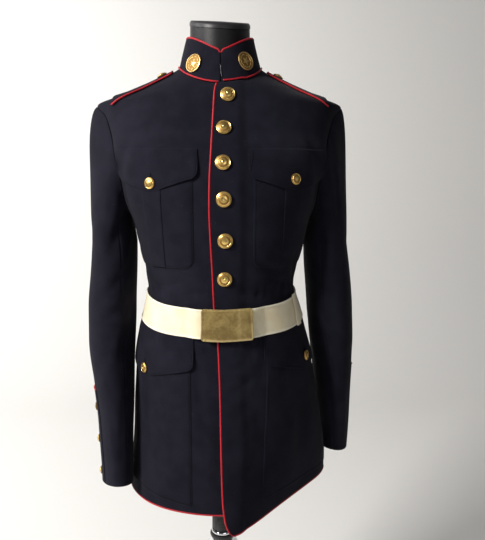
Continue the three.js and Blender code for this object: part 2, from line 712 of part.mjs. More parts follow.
// Side, then the arc from the centre front to each pocket's near edge, the skirt pocket's width,
// the heights of the two flap buttons, of the skirt flap's corners and of the skirt pocket's foot.
const POCKETS = [
  ['right', -1, 39, 50, 212, -168, -498, -487, -742],
  ['left', 1, 44, 73, 205, -161, -483, -482, -729],
];
for (const [name, side, breastArc, skirtArc, skirtWidth, seatZ, hipZ, corner, foot] of POCKETS) {
  const w = BREAST.width;
  const bagOut = LIFT + BREAST.bag;
  const pleatOut = bagOut + LAYER + BREAST.pleat;
  const flapOut = pleatOut + LAYER + BREAST.flap;
  const bagWidth = w - 2 * BREAST.bagInset;
  add(`breast_pocket_${name}`, pieceOn(side, 10, 4, (u, v) => {
    const low = BREAST.bottom + cornerLift(u, bagWidth, 20);
    return [breastArc + BREAST.bagInset + u * bagWidth, blend(low, BREAST.top - 30, v)];
  }, bagOut, BREAST.bag), cloth());
  add(`breast_pleat_${name}`, pieceOn(side, 3, 4, (u, v) => (
    [breastArc + w / 2 + (u * 2 - 1) * BREAST.pleatHalf, blend(BREAST.bottom + 1, BREAST.top - 30, v)]
  ), pleatOut, BREAST.pleat), cloth());
  add(`breast_flap_${name}`, pieceOn(side, 10, 2, (u, v) => {
    const low = blend(BREAST.corner, BREAST.point, 1 - Math.abs(u * 2 - 1)) + cornerLift(u, w, 12);
    return [breastArc + u * w, blend(low, BREAST.top + 4 * u, v)];
  }, flapOut, BREAST.flap), cloth());
  const atBreast = coatFrame(angleAtArc(side, breastArc + w / 2, seatZ, side > 0), seatZ, side > 0);
  button(`breast_button_${name}`, atBreast, POCKET_BUTTON_RADIUS, flapOut, 12);

  const low2 = (u) => blend(foot, SKIRT.farFoot, u) + cornerLift(u, skirtWidth, 12);
  const beltLow = (arc) => {
    const angle = Math.abs(angleAtArc(side, arc, -435, side > 0));
    return beltZ(angle) - BELT_HEIGHT / 2 - 1.5;
  };
  const skirtBagOut = LIFT + SKIRT.bag;
  const skirtFlapOut = skirtBagOut + 2 * LAYER + SKIRT.flap;
  add(`skirt_pocket_${name}`, pieceOn(side, 12, 6, (u, v) => {
    const arc = skirtArc + 6 + u * (skirtWidth - 12);
    return [arc, blend(low2(u), SKIRT.bagTop, v)];
  }, skirtBagOut, SKIRT.bag), cloth());
  add(`skirt_flap_${name}`, pieceOn(side, 12, 2, (u, v) => {
    const arc = skirtArc + u * skirtWidth;
    const low = corner + SKIRT.point * (1 - Math.abs(u * 2 - 1)) + cornerLift(u, skirtWidth, 12);
    return [arc, blend(low, beltLow(arc), v)];
  }, skirtFlapOut, SKIRT.flap), cloth());
  const atHip = coatFrame(angleAtArc(side, skirtArc + skirtWidth / 2, hipZ, side > 0), hipZ, side > 0);
  button(`skirt_button_${name}`, atHip, POCKET_BUTTON_RADIUS, skirtFlapOut + REST_GAP, 12);
}

// Cuff slashes with three small buttons.
const SLASH = { back: -58, front: 22, length: 180, thick: 1.4, buttonTurn: -6 };
for (const [name, side, rows] of [['left', 1, SLEEVE_LEFT], ['right', -1, SLEEVE_RIGHT]]) {
  const first = rows[0][0];
  const last = rows[rows.length - 1][0];
  const at = sleeves[name];
  const step = (z) => 0.3 + 0.7 * ((z - first) / (last - first));
  const top = last + SLASH.length;
  const onSleeve = (turn, z, out) => {
    const f = at(turn, step(z));
    f.p.addScaledVector(f.n, out);
    return f;
  };
  const out = LIFT + SLASH.thick;
  add(`cuff_slash_${name}`, sheet(6, 6, (u, v) => (
    onSleeve(blend(SLASH.back, SLASH.front, u), blend(last + 2, top, v), out)
  ), SLASH.thick), cloth());
  const path = [];
  for (let i = 0; i <= 6; i += 1) {
    path.push(onSleeve(blend(SLASH.front, SLASH.back, i / 6), top + PIPE + 0.8, out - 0.4).p);
  }
  for (let i = 0; i <= 8; i += 1) {
    path.push(onSleeve(SLASH.back - 3.4, blend(top, last + 2, i / 8), out - 0.4).p);
  }
  add(`cuff_piping_${name}`, tube(path, 1.2), piping());
  [0.12, 0.46, 0.8].forEach((k, i) => {
    const below = onSleeve(SLASH.buttonTurn, blend(last, top, k), out);
    button(`cuff_button_${name}_${i + 1}`, below, CUFF_BUTTON_RADIUS, REST_GAP, 10);
  });
}

// Belt, plate and keeper.
const BELT_LIFT = 1.4;
const BELT_OVER_LAP = 5.4;
const beltOut = (degrees) => {
  const a = degrees > 180 ? degrees - 360 : degrees;
  return BELT_LIFT + BELT_THICK + BELT_OVER_LAP * smooth(-27, -17, a) * (1 - smooth(22, 32, a));
};
function beltFrame(degrees, v, extra) {
  const a = degrees > 180 ? degrees - 360 : degrees;
  const z = beltZ(Math.abs(a)) + (v - 0.5) * BELT_HEIGHT;
  const mid = coatFrame(a, beltZ(Math.abs(a)), false);
  const f = coatFrame(a, z, false);
  const flat = new THREE.Vector3(mid.n.x, mid.n.y, 0).normalize();
  f.p.addScaledVector(flat, beltOut(degrees) + extra);
  return { p: f.p, n: flat };
}
const web = () => material('belt_web', WEB_COLOUR);
add('belt', sheet(48, 1, (u, v) => beltFrame(360 * u, v, 0), BELT_THICK, true), web());
const PLATE = { left: -34, right: 49, height: 55, thick: 2.6 };
const KEEPER = { start: 60, end: 65, thick: 1.5 };
add('buckle_plate', sheet(6, 1, (u, v) => {
  const a = angleAtX(blend(PLATE.left, PLATE.right, u), -406);
  const up = 0.5 + (v - 0.5) * (PLATE.height / BELT_HEIGHT);
  return beltFrame(a < 0 ? a + 360 : a, up, REST_GAP + PLATE.thick);
}, PLATE.thick), material('brass_plate', GOLD_COLOUR, 1, 0.4));
add('belt_keeper', sheet(2, 1, (u, v) => (
  beltFrame(blend(KEEPER.start, KEEPER.end, u), v * 1.1, REST_GAP + KEEPER.thick)
), KEEPER.thick), web());

// The dress form that carries the coat, and its stand.
// Form sections: z, half width, front depth, back depth, squareness, ridge.
const FORM_ROWS = [
  [-680, 148, 112, 110, 2.1, 0], [-640, 153, 116, 118, 2.1, 0], [-560, 155, 121, 119, 2.1, 0],
  [-500, 152, 124, 110, 2.15, 0], [-440, 145, 124, 97, 2.2, 0], [-400, 135, 123, 87, 2.25, 0],
  [-360, 129, 124, 83, 2.3, 0], [-325, 132, 128, 83, 2.3, 0], [-280, 144, 137, 89, 2.35, 0],
  [-240, 153, 143, 95, 2.4, 0], [-193, 165, 147, 100, 2.4, 0], [-133, 177, 137, 104, 2.4, 0],
  [-75, 188, 108, 99, 2.3, -0.35], [-45, 195, 98, 93, 2.1, -0.5], [-31, 199, 94, 88, 2.05, -0.55],
  [-20, 194, 90, 84, 2, -0.6], [-3, 161.8, 85, 79, 2, -0.65], [8, 131.5, 76, 72, 2, -0.65],
  [17, 108, 69, 66, 2, -0.6], [27, 82, 64, 56, 2, -0.3], [36, 67, 64, 50, 2, 0], [44, 59, 65, 44, 2, 0],
  [60, 55, 66, 41, 2, 0], [117, 54, 66, 40, 2, 0], [122, 51.5, 63.5, 37.5, 2, 0],
];
// The neck is cut on a slant, lower at the front and a little lower on the wearer's left.
const NECK_CUT = { above: 110, back: 0.3, left: -0.035, centre: -10 };
function formRing(row, count) {
  const [z, wide, front, back, across, ridge] = row;
  const ring = [];
  for (let i = 0; i < count; i += 1) {
    const a = (i / count) * 2 * Math.PI;
    const s = Math.abs(Math.sin(a));
    const c = Math.abs(Math.cos(a));
    const r = roundedRadius(s, c, wide, Math.cos(a) >= 0 ? front : back, across, across + ridge);
    const p = new THREE.Vector3(r * Math.sin(a), -r * Math.cos(a), z);
    if (z > NECK_CUT.above) p.z += NECK_CUT.back * (p.y - NECK_CUT.centre) + NECK_CUT.left * p.x;
    ring.push(p);
  }
  return ring;
}
function loft(rings) {
  const count = rings[0].length;
  const points = rings.flat();
  const faces = [];
  for (let j = 0; j < rings.length - 1; j += 1) {
    for (let i = 0; i < count; i += 1) {
      const a = j * count + i;
      const b = j * count + ((i + 1) % count);
      faces.push(a, b, b + count, a, b + count, a + count);
    }
  }
  const top = (rings.length - 1) * count;
  for (let i = 1; i < count - 1; i += 1) {
    faces.push(0, i + 1, i);
    faces.push(top, top + i, top + i + 1);
  }
  return solid(points, faces);
}
add('form_torso', loft(FORM_ROWS.map((row) => formRing(row, 28))), material('form_jersey', BLACK_COLOUR));

const FLOOR = -NECK_HEIGHT;
const chrome = () => material('chrome', CHROME_COLOUR, 1, 0.15);
add('stand_sleeve', lathe([
  [0, -895], [18, -895], [22, -889], [26, -881], [25, -877], [14, -876], [14, -868], [21, -867],
  [21, -680.5], [0, -680.5],
], 16), material('black_plastic', BLACK_COLOUR, 0, 0.5));
add('stand_ring', lathe([
  [14.5, -875.4], [22.5, -875.4], [23.5, -872], [22.5, -868.6], [14.5, -868.6], [14.5, -875.4],
], 16), chrome());
add('stand_pole', lathe([
  [0, FLOOR + 25], [12.7, FLOOR + 25], [12.7, -922], [18, -916], [34, -912], [34, -907], [29, -899],
  [21, -895.5], [0, -895.5],
], 16), chrome());
add('stand_base', lathe([
  [0, FLOOR], [190, FLOOR], [190, FLOOR + 5], [185, FLOOR + 9], [70, FLOOR + 15], [28, FLOOR + 18],
  [24, FLOOR + 24.5], [0, FLOOR + 24.5],
], 28), material('base_paint', BLACK_COLOUR, 0.2, 0.4));

export default group;
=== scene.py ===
import math

import bpy
import numpy as np
from mathutils import Matrix, Vector


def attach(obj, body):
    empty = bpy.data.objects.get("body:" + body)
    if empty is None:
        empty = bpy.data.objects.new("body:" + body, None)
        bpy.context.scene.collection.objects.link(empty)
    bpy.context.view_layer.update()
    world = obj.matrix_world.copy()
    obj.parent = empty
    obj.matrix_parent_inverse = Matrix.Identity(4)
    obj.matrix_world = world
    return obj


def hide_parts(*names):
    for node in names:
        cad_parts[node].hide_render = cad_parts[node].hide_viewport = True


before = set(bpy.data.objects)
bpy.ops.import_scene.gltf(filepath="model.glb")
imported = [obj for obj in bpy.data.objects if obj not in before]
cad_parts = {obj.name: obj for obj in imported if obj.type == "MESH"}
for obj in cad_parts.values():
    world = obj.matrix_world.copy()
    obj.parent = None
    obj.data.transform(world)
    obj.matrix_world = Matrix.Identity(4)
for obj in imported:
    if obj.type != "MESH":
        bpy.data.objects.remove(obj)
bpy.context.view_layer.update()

bpy.ops.object.select_all(action='DESELECT')

mm = 0.001
neckHeight = 1375        # the front neck seam above the floor; the heights below are counted from it
photo = {'lens': 36.47, 'place': (-0.01, -1.05, 1.191), 'down': 8.0, 'right': 2.78}

bpy.ops.object.camera_add(location=photo['place'])
camera = bpy.context.object
camera.rotation_euler = (math.radians(90 - photo['down']), 0, math.radians(-photo['right']))
camera.data.lens = photo['lens']
camera.data.sensor_width = 36
camera.data.clip_end = 60
bpy.context.scene.camera = camera
bpy.context.scene.view_settings.view_transform = 'Standard'
print('camera set')


# Shapes of the coat, in millimetres.

def smooth(a, b, x):
    t = np.clip((np.asarray(x, float) - a) / (b - a), 0, 1)
    return t * t * (3 - 2 * t)


def mix(a, b, t):
    return a + (b - a) * t


def unit(v):
    return v / np.maximum(np.linalg.norm(v, axis=-1, keepdims=True), 1e-12)


def curve(xs, ys):       # monotone cubic through a table of pairs
    xs, ys = np.array(xs, float), np.array(ys, float)
    h = np.diff(xs)
    d = np.diff(ys) / h
    m = np.zeros(len(xs))
    m[0], m[-1] = d[0], d[-1]
    for i in range(1, len(xs) - 1):
        if d[i - 1] * d[i] > 0:
            w1, w2 = 2 * h[i] + h[i - 1], h[i] + 2 * h[i - 1]
            m[i] = (w1 + w2) / (w1 / d[i - 1] + w2 / d[i])

    def at(x):
        x = np.asarray(x, float)
        i = np.clip(np.searchsorted(xs, x) - 1, 0, len(xs) - 2)
        t = np.clip((x - xs[i]) / h[i], -0.5, 1.5)
        t2, t3 = t * t, t * t * t
        return ((2 * t3 - 3 * t2 + 1) * ys[i] + (t3 - 2 * t2 + t) * h[i] * m[i]
                + (3 * t2 - 2 * t3) * ys[i + 1] + (t3 - t2) * h[i] * m[i + 1])
    return at


def column(rows, k):
    rows = sorted(rows)
    return curve([r[0] for r in rows], [r[k] for r in rows])


bodyColumns = ['left', 'right', 'front', 'back', 'shift', 'square', 'squareLeft', 'ridge']
bodyRows = [             # level sections of the coat: height, then the columns above
    [-790, 209, 186, 139, 143, 6, 2.1, 1.45, 0], [-760, 209, 185, 139, 142, 6, 2.1, 1.5, 0],
    [-700, 206, 177, 140, 140, 7, 2.1, 1.6, 0], [-620, 197, 168, 142, 134, 8, 2.1, 1.75, 0],
    [-560, 186, 166, 142, 128, 7, 2.1, 1.9, 0], [-500, 173, 163, 141, 118, 5, 2.15, 2.1, 0],
    [-440, 160, 156, 138, 106, 2, 2.2, 2.2, 0], [-400, 149, 145, 134, 97, 0, 2.25, 2.25, 0],
    [-360, 138, 138, 134, 92, 0, 2.3, 2.3, 0], [-325, 142, 141, 138, 92, 0, 2.3, 2.3, 0],
    [-280, 154, 153, 146, 98, 0, 2.35, 2.35, 0], [-240, 163, 161, 152, 103, 0, 2.4, 2.4, 0],
    [-193, 180, 180, 156, 108, 0, 2.4, 2.4, 0], [-133, 198, 198, 147, 112, 0, 2.4, 2.4, 0],
    [-75, 211, 211, 119, 108, 0, 2.3, 2.3, -0.3], [-45, 219, 219, 109, 103, 0, 2.1, 2.1, -0.45],
    [-26, 226, 226, 102, 97, 0, 2.0, 2.0, -0.5], [-3, 168, 168, 94, 89, 0, 2.0, 2.0, -0.6],
    [16, 122.4, 122.4, 81, 78, 0, 2.0, 2.0, -0.55], [41, 74.5, 74.5, 60, 60, 0, 2.0, 2.0, -0.1],
    [60, 60, 60, 50, 50, 0, 2.0, 2.0, 0],
]
lapEdge = [
    [-790, 14], [-768, 10], [-750, 5], [-706, 0], [-621, -2], [-536, -3], [-443, -6], [-382, -12],
    [-312, -14.8], [-261, -17.2], [-211, -18.8], [-163, -18], [-115, -15.2], [-48, -11.2], [-11, -8.4],
    [0, -5], [10, -4],
]
armhole = [              # turn round the sleeve, height, share of the depth
    [0, -26, 0], [30, -48, 0.27], [60, -88, 0.43], [90, -138, 0.49], [120, -182, 0.42],
    [150, -218, 0.24], [180, -232, 0], [210, -222, -0.26], [240, -188, -0.44], [270, -138, -0.56],
    [300, -88, -0.52], [330, -48, -0.33], [360, -26, 0],
]
body = {name: column(bodyRows, i + 1) for i, name in enumerate(bodyColumns)}
lapEdgeX = column(lapEdge, 1)
armholeZ, armholeShare = column(armhole, 1), column(armhole, 2)
sideSeam = column([[-790, 104], [-400, 102], [-300, 97], [-232, 90]], 1)
beltZ = column([[0, -406], [40, -402], [90, -389], [180, -386]], 1)
neckSideZ, neckBackZ, neckPower = 41, 34, 2
coat = {
    'cloth': 2.0, 'seam': 0.1, 'lapRise': 3.4, 'underEdge': 22, 'cornerSpring': 46,
    'hemLeft': -768, 'hemRight': -755, 'hemBack': -748, 'hemSideLeft': -738, 'hemSideRight': -750,
}
belt = {'height': 51, 'thick': 2.4, 'lift': 1.4, 'overLap': 5.4}
levels = [-685, -615, -545, -480, -430, -395, -362, -332, -300, -266]

# Folds: start (distance round from the centre front, height), end, half width, depth, bow.
bodyFolds = [
    (62, -300, 128, -322, 8, -2.6, 5), (74, -318, 150, -342, 7, -2.0, 4),
    (58, -312, 140, -332, 7, 1.5, 4), (96, -290, 182, -312, 10, -1.7, -4),
    (30, -344, 92, -362, 8, -1.3, 3), (118, -346, 176, -361, 9, 1.4, 2),
    (150, -300, 205, -352, 12, -2.4, 6), (-58, -326, -140, -344, 9, -1.3, -4),
    (-96, -342, -186, -356, 10, -1.8, -3), (-150, -318, -214, -350, 12, 1.5, 5),
    (-170, -262, -226, -322, 13, -2.2, 5), (-36, -352, -84, -364, 7, -1.0, 2),
    (156, -92, 172, -196, 14, -3.0, 6), (-156, -88, -176, -190, 13, -2.6, -6),
    (176, -84, 196, -180, 12, 1.6, 5), (126, -52, 168, -100, 16, -1.6, 6),
    (-122, -50, -160, -96, 15, -1.4, -5), (4, -492, 42, -473, 6, -1.7, 3),
    (6, -522, 60, -496, 7, -2.0, 4), (14, -508, 56, -486, 6, 1.1, 3),
    (16, -562, 64, -545, 7, -1.4, -3), (8, -612, 44, -588, 7, -1.5, 3),
    (16, -662, 60, -650, 8, -1.8, 4), (10, -704, 48, -684, 7, -1.2, 2),
    (34, -574, 50, -700, 11, 1.3, 5), (72, -450, 66, -520, 8, -1.2, -3),
    (60, -560, 92, -640, 12, -1.6, 8), (150, -560, 176, -735, 18, -3.4, 9),
    (196, -600, 214, -740, 16, 2.6, -6), (-40, -470, -34, -600, 10, -1.5, 4),
    (-22, -600, -30, -720, 9, 1.2, -3), (-150, -540, -168, -735, 19, -2.6, -8),
    (-206, -520, -232, -740, 18, 2.4, 7), (252, -440, 268, -738, 17, -3.6, 9),
    (286, -520, 300, -744, 15, 2.6, -7), (330, -432, 338, -650, 14, -2.4, 6),
    (372, -560, 388, -748, 19, 3.0, -6), (414, -436, 422, -620, 13, -2.8, 5),
    (448, -520, 450, -748, 15, 2.0, 3), (-252, -446, -270, -738, 16, -3.2, -8),
    (-292, -500, -306, -744, 17, 2.4, 6), (-338, -438, -346, -690, 14, -2.7, 5),
    (-384, -570, -392, -748, 18, 2.6, 6), (-424, -430, -430, -600, 12, -2.3, -4),
    (-452, -560, -450, -748, 14, -2.0, 3), (300, -120, 352, -240, 17, -2.4, 8),
    (-306, -128, -350, -250, 16, -2.2, -7), (392, -92, 424, -150, 20, -1.4, 6),
    (-386, -84, -428, -156, 18, -1.6, -5), (318, -268, 402, -338, 13, -2.3, 7),
    (-312, -276, -398, -344, 12, -2.5, -6), (286, -318, 350, -358, 10, 1.6, 4),
    (-280, -312, -356, -356, 11, 1.5, -4), (430, -300, 452, -366, 11, -1.8, 3),
    (-436, -310, -450, -368, 10, -1.6, 2), (60, -40, 118, -84, 20, -1.0, 4),
    (-64, -42, -112, -88, 18, -0.9, 5),
]
# Short gathers above and under the belt: place round the waist, height, length, half width, depth.
gathers = [
    (-214, -352, 22, 5, -1.5), (-189, -350, 30, 6, -1.1), (-163, -356, 18, 5, -1.4),
    (-128, -354, 24, 6, -1.0), (-99, -358, 16, 4, -0.9), (-52, -360, 14, 4, -0.8),
    (34, -360, 15, 4, -0.9), (66, -357, 22, 5, -1.3), (88, -354, 17, 4, -1.1),
    (121, -352, 28, 6, -1.5), (147, -350, 19, 5, -1.1), (176, -347, 31, 6, -1.6),
    (203, -346, 22, 5, -1.3), (238, -343, 27, 6, -1.7), (271, -342, 19, 5, -1.2),
    (304, -340, 30, 6, -1.6), (341, -339, 21, 5, -1.3), (377, -339, 27, 6, -1.8),
    (409, -338, 18, 5, -1.2), (446, -338, 26, 6, -1.5), (-246, -345, 26, 6, -1.6),
    (-279, -343, 20, 5, -1.2), (-316, -341, 29, 6, -1.7), (-352, -340, 19, 5, -1.3),
    (-388, -339, 28, 6, -1.6), (-421, -338, 21, 5, -1.2), (-455, -338, 25, 5, -1.4),
    (-30, -452, 28, 5, -1.1), (30, -450, 34, 6, -1.3), (52, -456, 24, 5, -1.0),
    (262, -438, 36, 7, -1.7), (306, -434, 27, 6, -1.3), (352, -436, 38, 7, -1.8),
    (391, -434, 25, 6, -1.3), (436, -436, 34, 7, -1.6), (-258, -440, 33, 7, -1.6),
    (-300, -436, 26, 6, -1.3), (-344, -434, 37, 7, -1.7), (-389, -436, 24, 6, -1.2),
    (-440, -434, 33, 7, -1.6),
]


def foldHeight(s, z, folds):
    total = np.zeros(np.broadcast(s, z).shape)
    for s0, z0, s1, z1, half, depth, bow in folds:
        ds, dz = s1 - s0, z1 - z0
        length = math.hypot(ds, dz)
        t = ((s - s0) * ds + (z - z0) * dz) / length ** 2
        inside = np.clip(t, 0, 1)
        off = ((s - s0) * dz - (z - z0) * ds) / length - bow * np.sin(np.pi * inside)
        spread = half * (0.75 + 0.5 * inside)
        past = (t - inside) * length
        fade = np.sin(np.pi * np.clip(inside * 0.86 + 0.07, 0, 1)) ** 0.8
        total = total + depth * fade * np.exp(-(off / spread) ** 2 - (past / (half * 1.2)) ** 2)
    return total


def gatherFolds():
    rows = []
    for k, (s, z, length, half, depth) in enumerate(gathers):
        lean = (k * 7 % 5 - 2) * 2.2
        down = -1 if z > -400 else 1
        rows.append((s, z + down * length / 2, s + lean, z - down * length / 2, half, depth, lean / 3))
    return rows


allBodyFolds = bodyFolds + gatherFolds()


def drape(deg, z):
    s = np.asarray(deg, float) * 2.6
    turn = np.radians(deg)
    belt = 1 - smooth(24, 36, np.abs(z - beltZ(np.abs(deg))))
    slow = 0.8 * np.sin(5 * turn + z / 67) * np.sin(z / 43 - 2 * turn)
    folds = sum(foldHeight(s + shift, z, allBodyFolds) for shift in (-936, 0, 936))
    return (folds * 1.25 + slow) * (1 - belt) * smooth(-48, -80, z)


def roundedRadius(s, c, wide, deep, across, along):
    r = 1 / np.maximum(s / wide, c / deep)
    for _ in range(14):
        a = np.maximum(r * s / wide, 1e-12) ** across
        b = np.maximum(r * c / deep, 1e-12) ** along
        r = r - ((a + b - 1) * r) / (across * a + along * b)
    return r


def sectionRadius(deg, z):
    s, c = np.sin(np.radians(deg)), np.cos(np.radians(deg))
    shift = body['shift'](z)
    wide = np.where(s >= 0, body['left'](z), body['right'](z))
    deep = np.where(c >= 0, body['front'](z) + shift, body['back'](z) - shift)
    across = np.where(s >= 0, body['squareLeft'](z), body['square'](z))
    return roundedRadius(np.abs(s), np.abs(c), wide, deep, across, across + body['ridge'](z))


def plainPoint(deg, z, lapped):
    deg, z = np.broadcast_arrays(np.asarray(deg, float), np.asarray(z, float))
    r = sectionRadius(deg, z)
    y = body['shift'](z) - r * np.cos(np.radians(deg))
    if lapped:
        spring = coat['cornerSpring'] * smooth(-440, -790, z) * (1 - smooth(-4, 62, deg))
        y = y - np.where(deg > -60, spring, 0)
    return np.stack([r * np.sin(np.radians(deg)), y, z], -1)


def coatFrame(deg, z, lapped, out=0.0, folded=True):
    p = plainPoint(deg, z, lapped)
    a = plainPoint(deg + 0.05, z, lapped) - plainPoint(deg - 0.05, z, lapped)
    b = plainPoint(deg, z + 0.2, lapped) - plainPoint(deg, z - 0.2, lapped)
    n = unit(np.cross(a, b))
    lift = out + (drape(deg, z) if folded else 0)
    if lapped:
        lift = lift + coat['lapRise'] * (1 - smooth(26, 44, p[..., 0]))
    return p + n * np.broadcast_to(lift, p.shape[:-1])[..., None], n


def angleAtX(x, z, lapped=False):
    angle = 0.0
    for _ in range(12):
        p = plainPoint(angle, z, lapped)[..., 0]
        q = plainPoint(angle + 0.1, z, lapped)[..., 0]
        angle = angle + (x - p) / (q - p) * 0.1
    return angle


arcHeights = np.arange(-800, 48, 4.0)
arcTables = {}


def arcTable(side, lapped):
    if side not in arcTables:
        turn = np.arange(0, 178)
        p = plainPoint(side * turn[None, :], arcHeights[:, None], lapped)
        step = np.linalg.norm(np.diff(p, axis=1), axis=-1)
        arcTables[side] = np.concatenate([np.zeros((len(arcHeights), 1)), np.cumsum(step, 1)], 1)
    return arcTables[side]


def angleAtArc(side, arc, z):
    table = arcTable(side, side > 0)
    arc, z = np.broadcast_arrays(np.asarray(arc, float), np.asarray(z, float))
    row = np.clip((z - arcHeights[0]) / 4, 0, len(arcHeights) - 1.001)
    low = row.astype(int)
    t = row - low
    made = np.empty(arc.size)
    for k, (a, i, f) in enumerate(zip(arc.ravel(), low.ravel(), t.ravel())):
        made[k] = np.interp(a, table[i] * (1 - f) + table[i + 1] * f, np.arange(178))
    return side * made.reshape(arc.shape)


def shareAngle(z, share, side):
    shift = float(body['shift'](z))
    wide = float(body['left' if side > 0 else 'right'](z))
    deep = float(body['front'](z)) + shift if share >= 0 else float(body['back'](z)) - shift
    across = float(body['squareLeft' if side > 0 else 'square'](z))
    q = abs(share)
    x = wide * (1 - q ** (across + float(body['ridge'](z)))) ** (1 / across)
    return math.degrees(math.atan2(x, (-1 if share < 0 else 1) * q * deep))


def neckRise(u, power=1.5):
    return np.sin(np.radians(np.clip(u, 0, 1) * 90)) ** power


def neckZ(deg):
    a = np.abs(deg)
    return np.where(a <= 90, neckSideZ * neckRise(a / 90, neckPower),
                    neckBackZ + (neckSideZ - neckBackZ) * neckRise((180 - a) / 90))


def halfSeam(z, deg):
    return math.degrees((coat['seam'] / 2) / float(sectionRadius(deg, z)))


def sideLevel(hem, top, k):
    marks = [hem] + levels + [top]
    at = k * (len(marks) - 1)
    i = min(len(marks) - 2, int(at + 1e-6))
    return mix(marks[i], marks[i + 1], at - i)


def lateralPoint(v, back, side):
    swap = -1 if back else 1
    if v <= 0.44:
        z = sideLevel(coat['hemSideLeft' if side > 0 else 'hemSideRight'], -232, v / 0.44)
        a = float(sideSeam(z))
        return z, a - swap * halfSeam(z, a)
    if v <= 0.8:
        k = (v - 0.44) / 0.36
        turn = 180 + 180 * k if back else 180 - 180 * k
        z = float(armholeZ(turn))
        a = shareAngle(z, float(armholeShare(turn)), side)
        near = max(0, 1 - min(k, 1 - k) * 12)
        return z, a - swap * near * halfSeam(z, 90)
    z = mix(-26, neckSideZ, (v - 0.8) / 0.2)
    return z, 90 - swap * halfSeam(z, 90)


def panelGrid(back, side, us, vs):       # angle and height of every point of a front or a back
    deg, height = np.empty((len(vs), len(us))), np.empty((len(vs), len(us)))
    lapped = side > 0 and not back
    w = mix(us, 1 - (1 - us) ** 2, 0.45)
    for j, v in enumerate(vs):
        edgeZ, edgeA = lateralPoint(v, back, side)
        if back:
            hem, under, high, top = coat['hemBack'], -236, -50, neckBackZ
        else:
            hem, under, high, top = coat['hemLeft' if lapped else 'hemRight'], -236, -72, 0
        if v <= 0.44:
            z = sideLevel(hem, under, v / 0.44)
        elif v <= 0.8:
            z = mix(under, high, (v - 0.44) / 0.36)
        else:
            z = mix(high, top, (v - 0.8) / 0.2)
        if back:
            start = 180 - halfSeam(z, 180)
            rise = lambda a: neckRise((180 - a) / (180 - edgeA))
        else:
            edgeX = float(lapEdgeX(z)) if lapped else -coat['underEdge']
            start = side * float(angleAtX(edgeX, z, lapped))
            start = start if lapped else -abs(start)
            power = float(mix(1.5, neckPower, smooth(0.8, 1, v)))
            rise = lambda a: neckRise(np.maximum(0, a) / edgeA, power)
        angle = mix(start, edgeA, w)
        deg[j], height[j] = side * angle, mix(z, edgeZ, rise(angle))
    return deg, height


# Making meshes.

def choose(piece):
    bpy.ops.object.select_all(action='DESELECT')
    piece.select_set(True)
    bpy.context.view_layer.objects.active = piece


def applyModifier(piece, kind, **settings):
    made = piece.modifiers.new(kind.lower(), kind)
    for name, value in settings.items():
        setattr(made, name, value)
    choose(piece)
    bpy.ops.object.modifier_apply(modifier=made.name)


def roundEdges(piece, limit=40):
    choose(piece)
    bpy.ops.object.shade_smooth_by_angle(angle=math.radians(limit))


def mergeDoubles(piece, limit=0.01):
    choose(piece)
    bpy.ops.object.mode_set(mode='EDIT')
    bpy.ops.mesh.select_all(action='SELECT')
    bpy.ops.mesh.remove_doubles(threshold=limit * mm)
    bpy.ops.object.mode_set(mode='OBJECT')


def outwards(piece):
    choose(piece)
    bpy.ops.object.mode_set(mode='EDIT')
    bpy.ops.mesh.select_all(action='SELECT')
    bpy.ops.mesh.normals_make_consistent(inside=False)
    bpy.ops.object.mode_set(mode='OBJECT')


# A grid primitive laid over rows of points.
def makeGrid(name, points, material, wrap=False, normals=None, paintedHighlight=None):
    rows, cols = points.shape[:2]
    bpy.ops.object.select_all(action='DESELECT')
    bpy.ops.mesh.primitive_grid_add(x_subdivisions=cols - 1, y_subdivisions=rows - 1, size=2)
    piece = bpy.context.object
    piece.name = piece.data.name = name
    mesh = piece.data
    co = np.empty(len(mesh.vertices) * 3)
    mesh.vertices.foreach_get('co', co)
    co = co.reshape(-1, 3)
    i = np.rint((co[:, 0] + 1) / 2 * (cols - 1)).astype(int)
    j = np.rint((co[:, 1] + 1) / 2 * (rows - 1)).astype(int)
    place = points[j, i] * mm + np.array([0, 0, neckHeight * mm])
    mesh.vertices.foreach_set('co', place.ravel())
    along = np.zeros((rows, cols))
    along[:, 1:] = np.cumsum(np.linalg.norm(np.diff(points, axis=1), axis=-1), 1)
    up = np.zeros((rows, cols))
    up[1:] = np.cumsum(np.linalg.norm(np.diff(points, axis=0), axis=-1), 0)
    loops = np.empty(len(mesh.loops), int)
    mesh.loops.foreach_get('vertex_index', loops)
    uv = np.stack([along[j[loops], i[loops]], up[j[loops], i[loops]]], -1) * mm
    mesh.uv_layers.active.data.foreach_set('uv', uv.ravel())
    mesh.materials.append(material)
    if paintedHighlight is not None:                  # a share of painted highlight per point, read by the materials
        mark = mesh.attributes.new('paintedHighlight', 'FLOAT', 'POINT')
        mark.data.foreach_set('value', np.broadcast_to(paintedHighlight, (rows, cols))[j, i].astype(np.float32))
    mesh.update()
    if normals is not None:              # faces turned to the side that is worn outwards
        first = np.array([p.vertices[0] for p in mesh.polygons])
        faceNormal = np.empty(len(mesh.polygons) * 3)
        mesh.polygons.foreach_get('normal', faceNormal)
        if (faceNormal.reshape(-1, 3) * normals[j[first], i[first]]).sum() < 0:
            mesh.flip_normals()
    if wrap:
        mergeDoubles(piece, 0.001)
    return piece


def makeSheet(name, points, normals, thick, material, wrap=False, bevel=0.45, limit=40, paintedHighlight=None):
    piece = makeGrid(name, points, material, wrap, normals, paintedHighlight)
    applyModifier(piece, 'SOLIDIFY', thickness=thick * mm, offset=-1, use_even_offset=False)
    if bevel:
        applyModifier(piece, 'BEVEL', width=bevel * mm, segments=2, limit_method='ANGLE',
                      angle_limit=math.radians(55))
    roundEdges(piece, limit)
    return piece


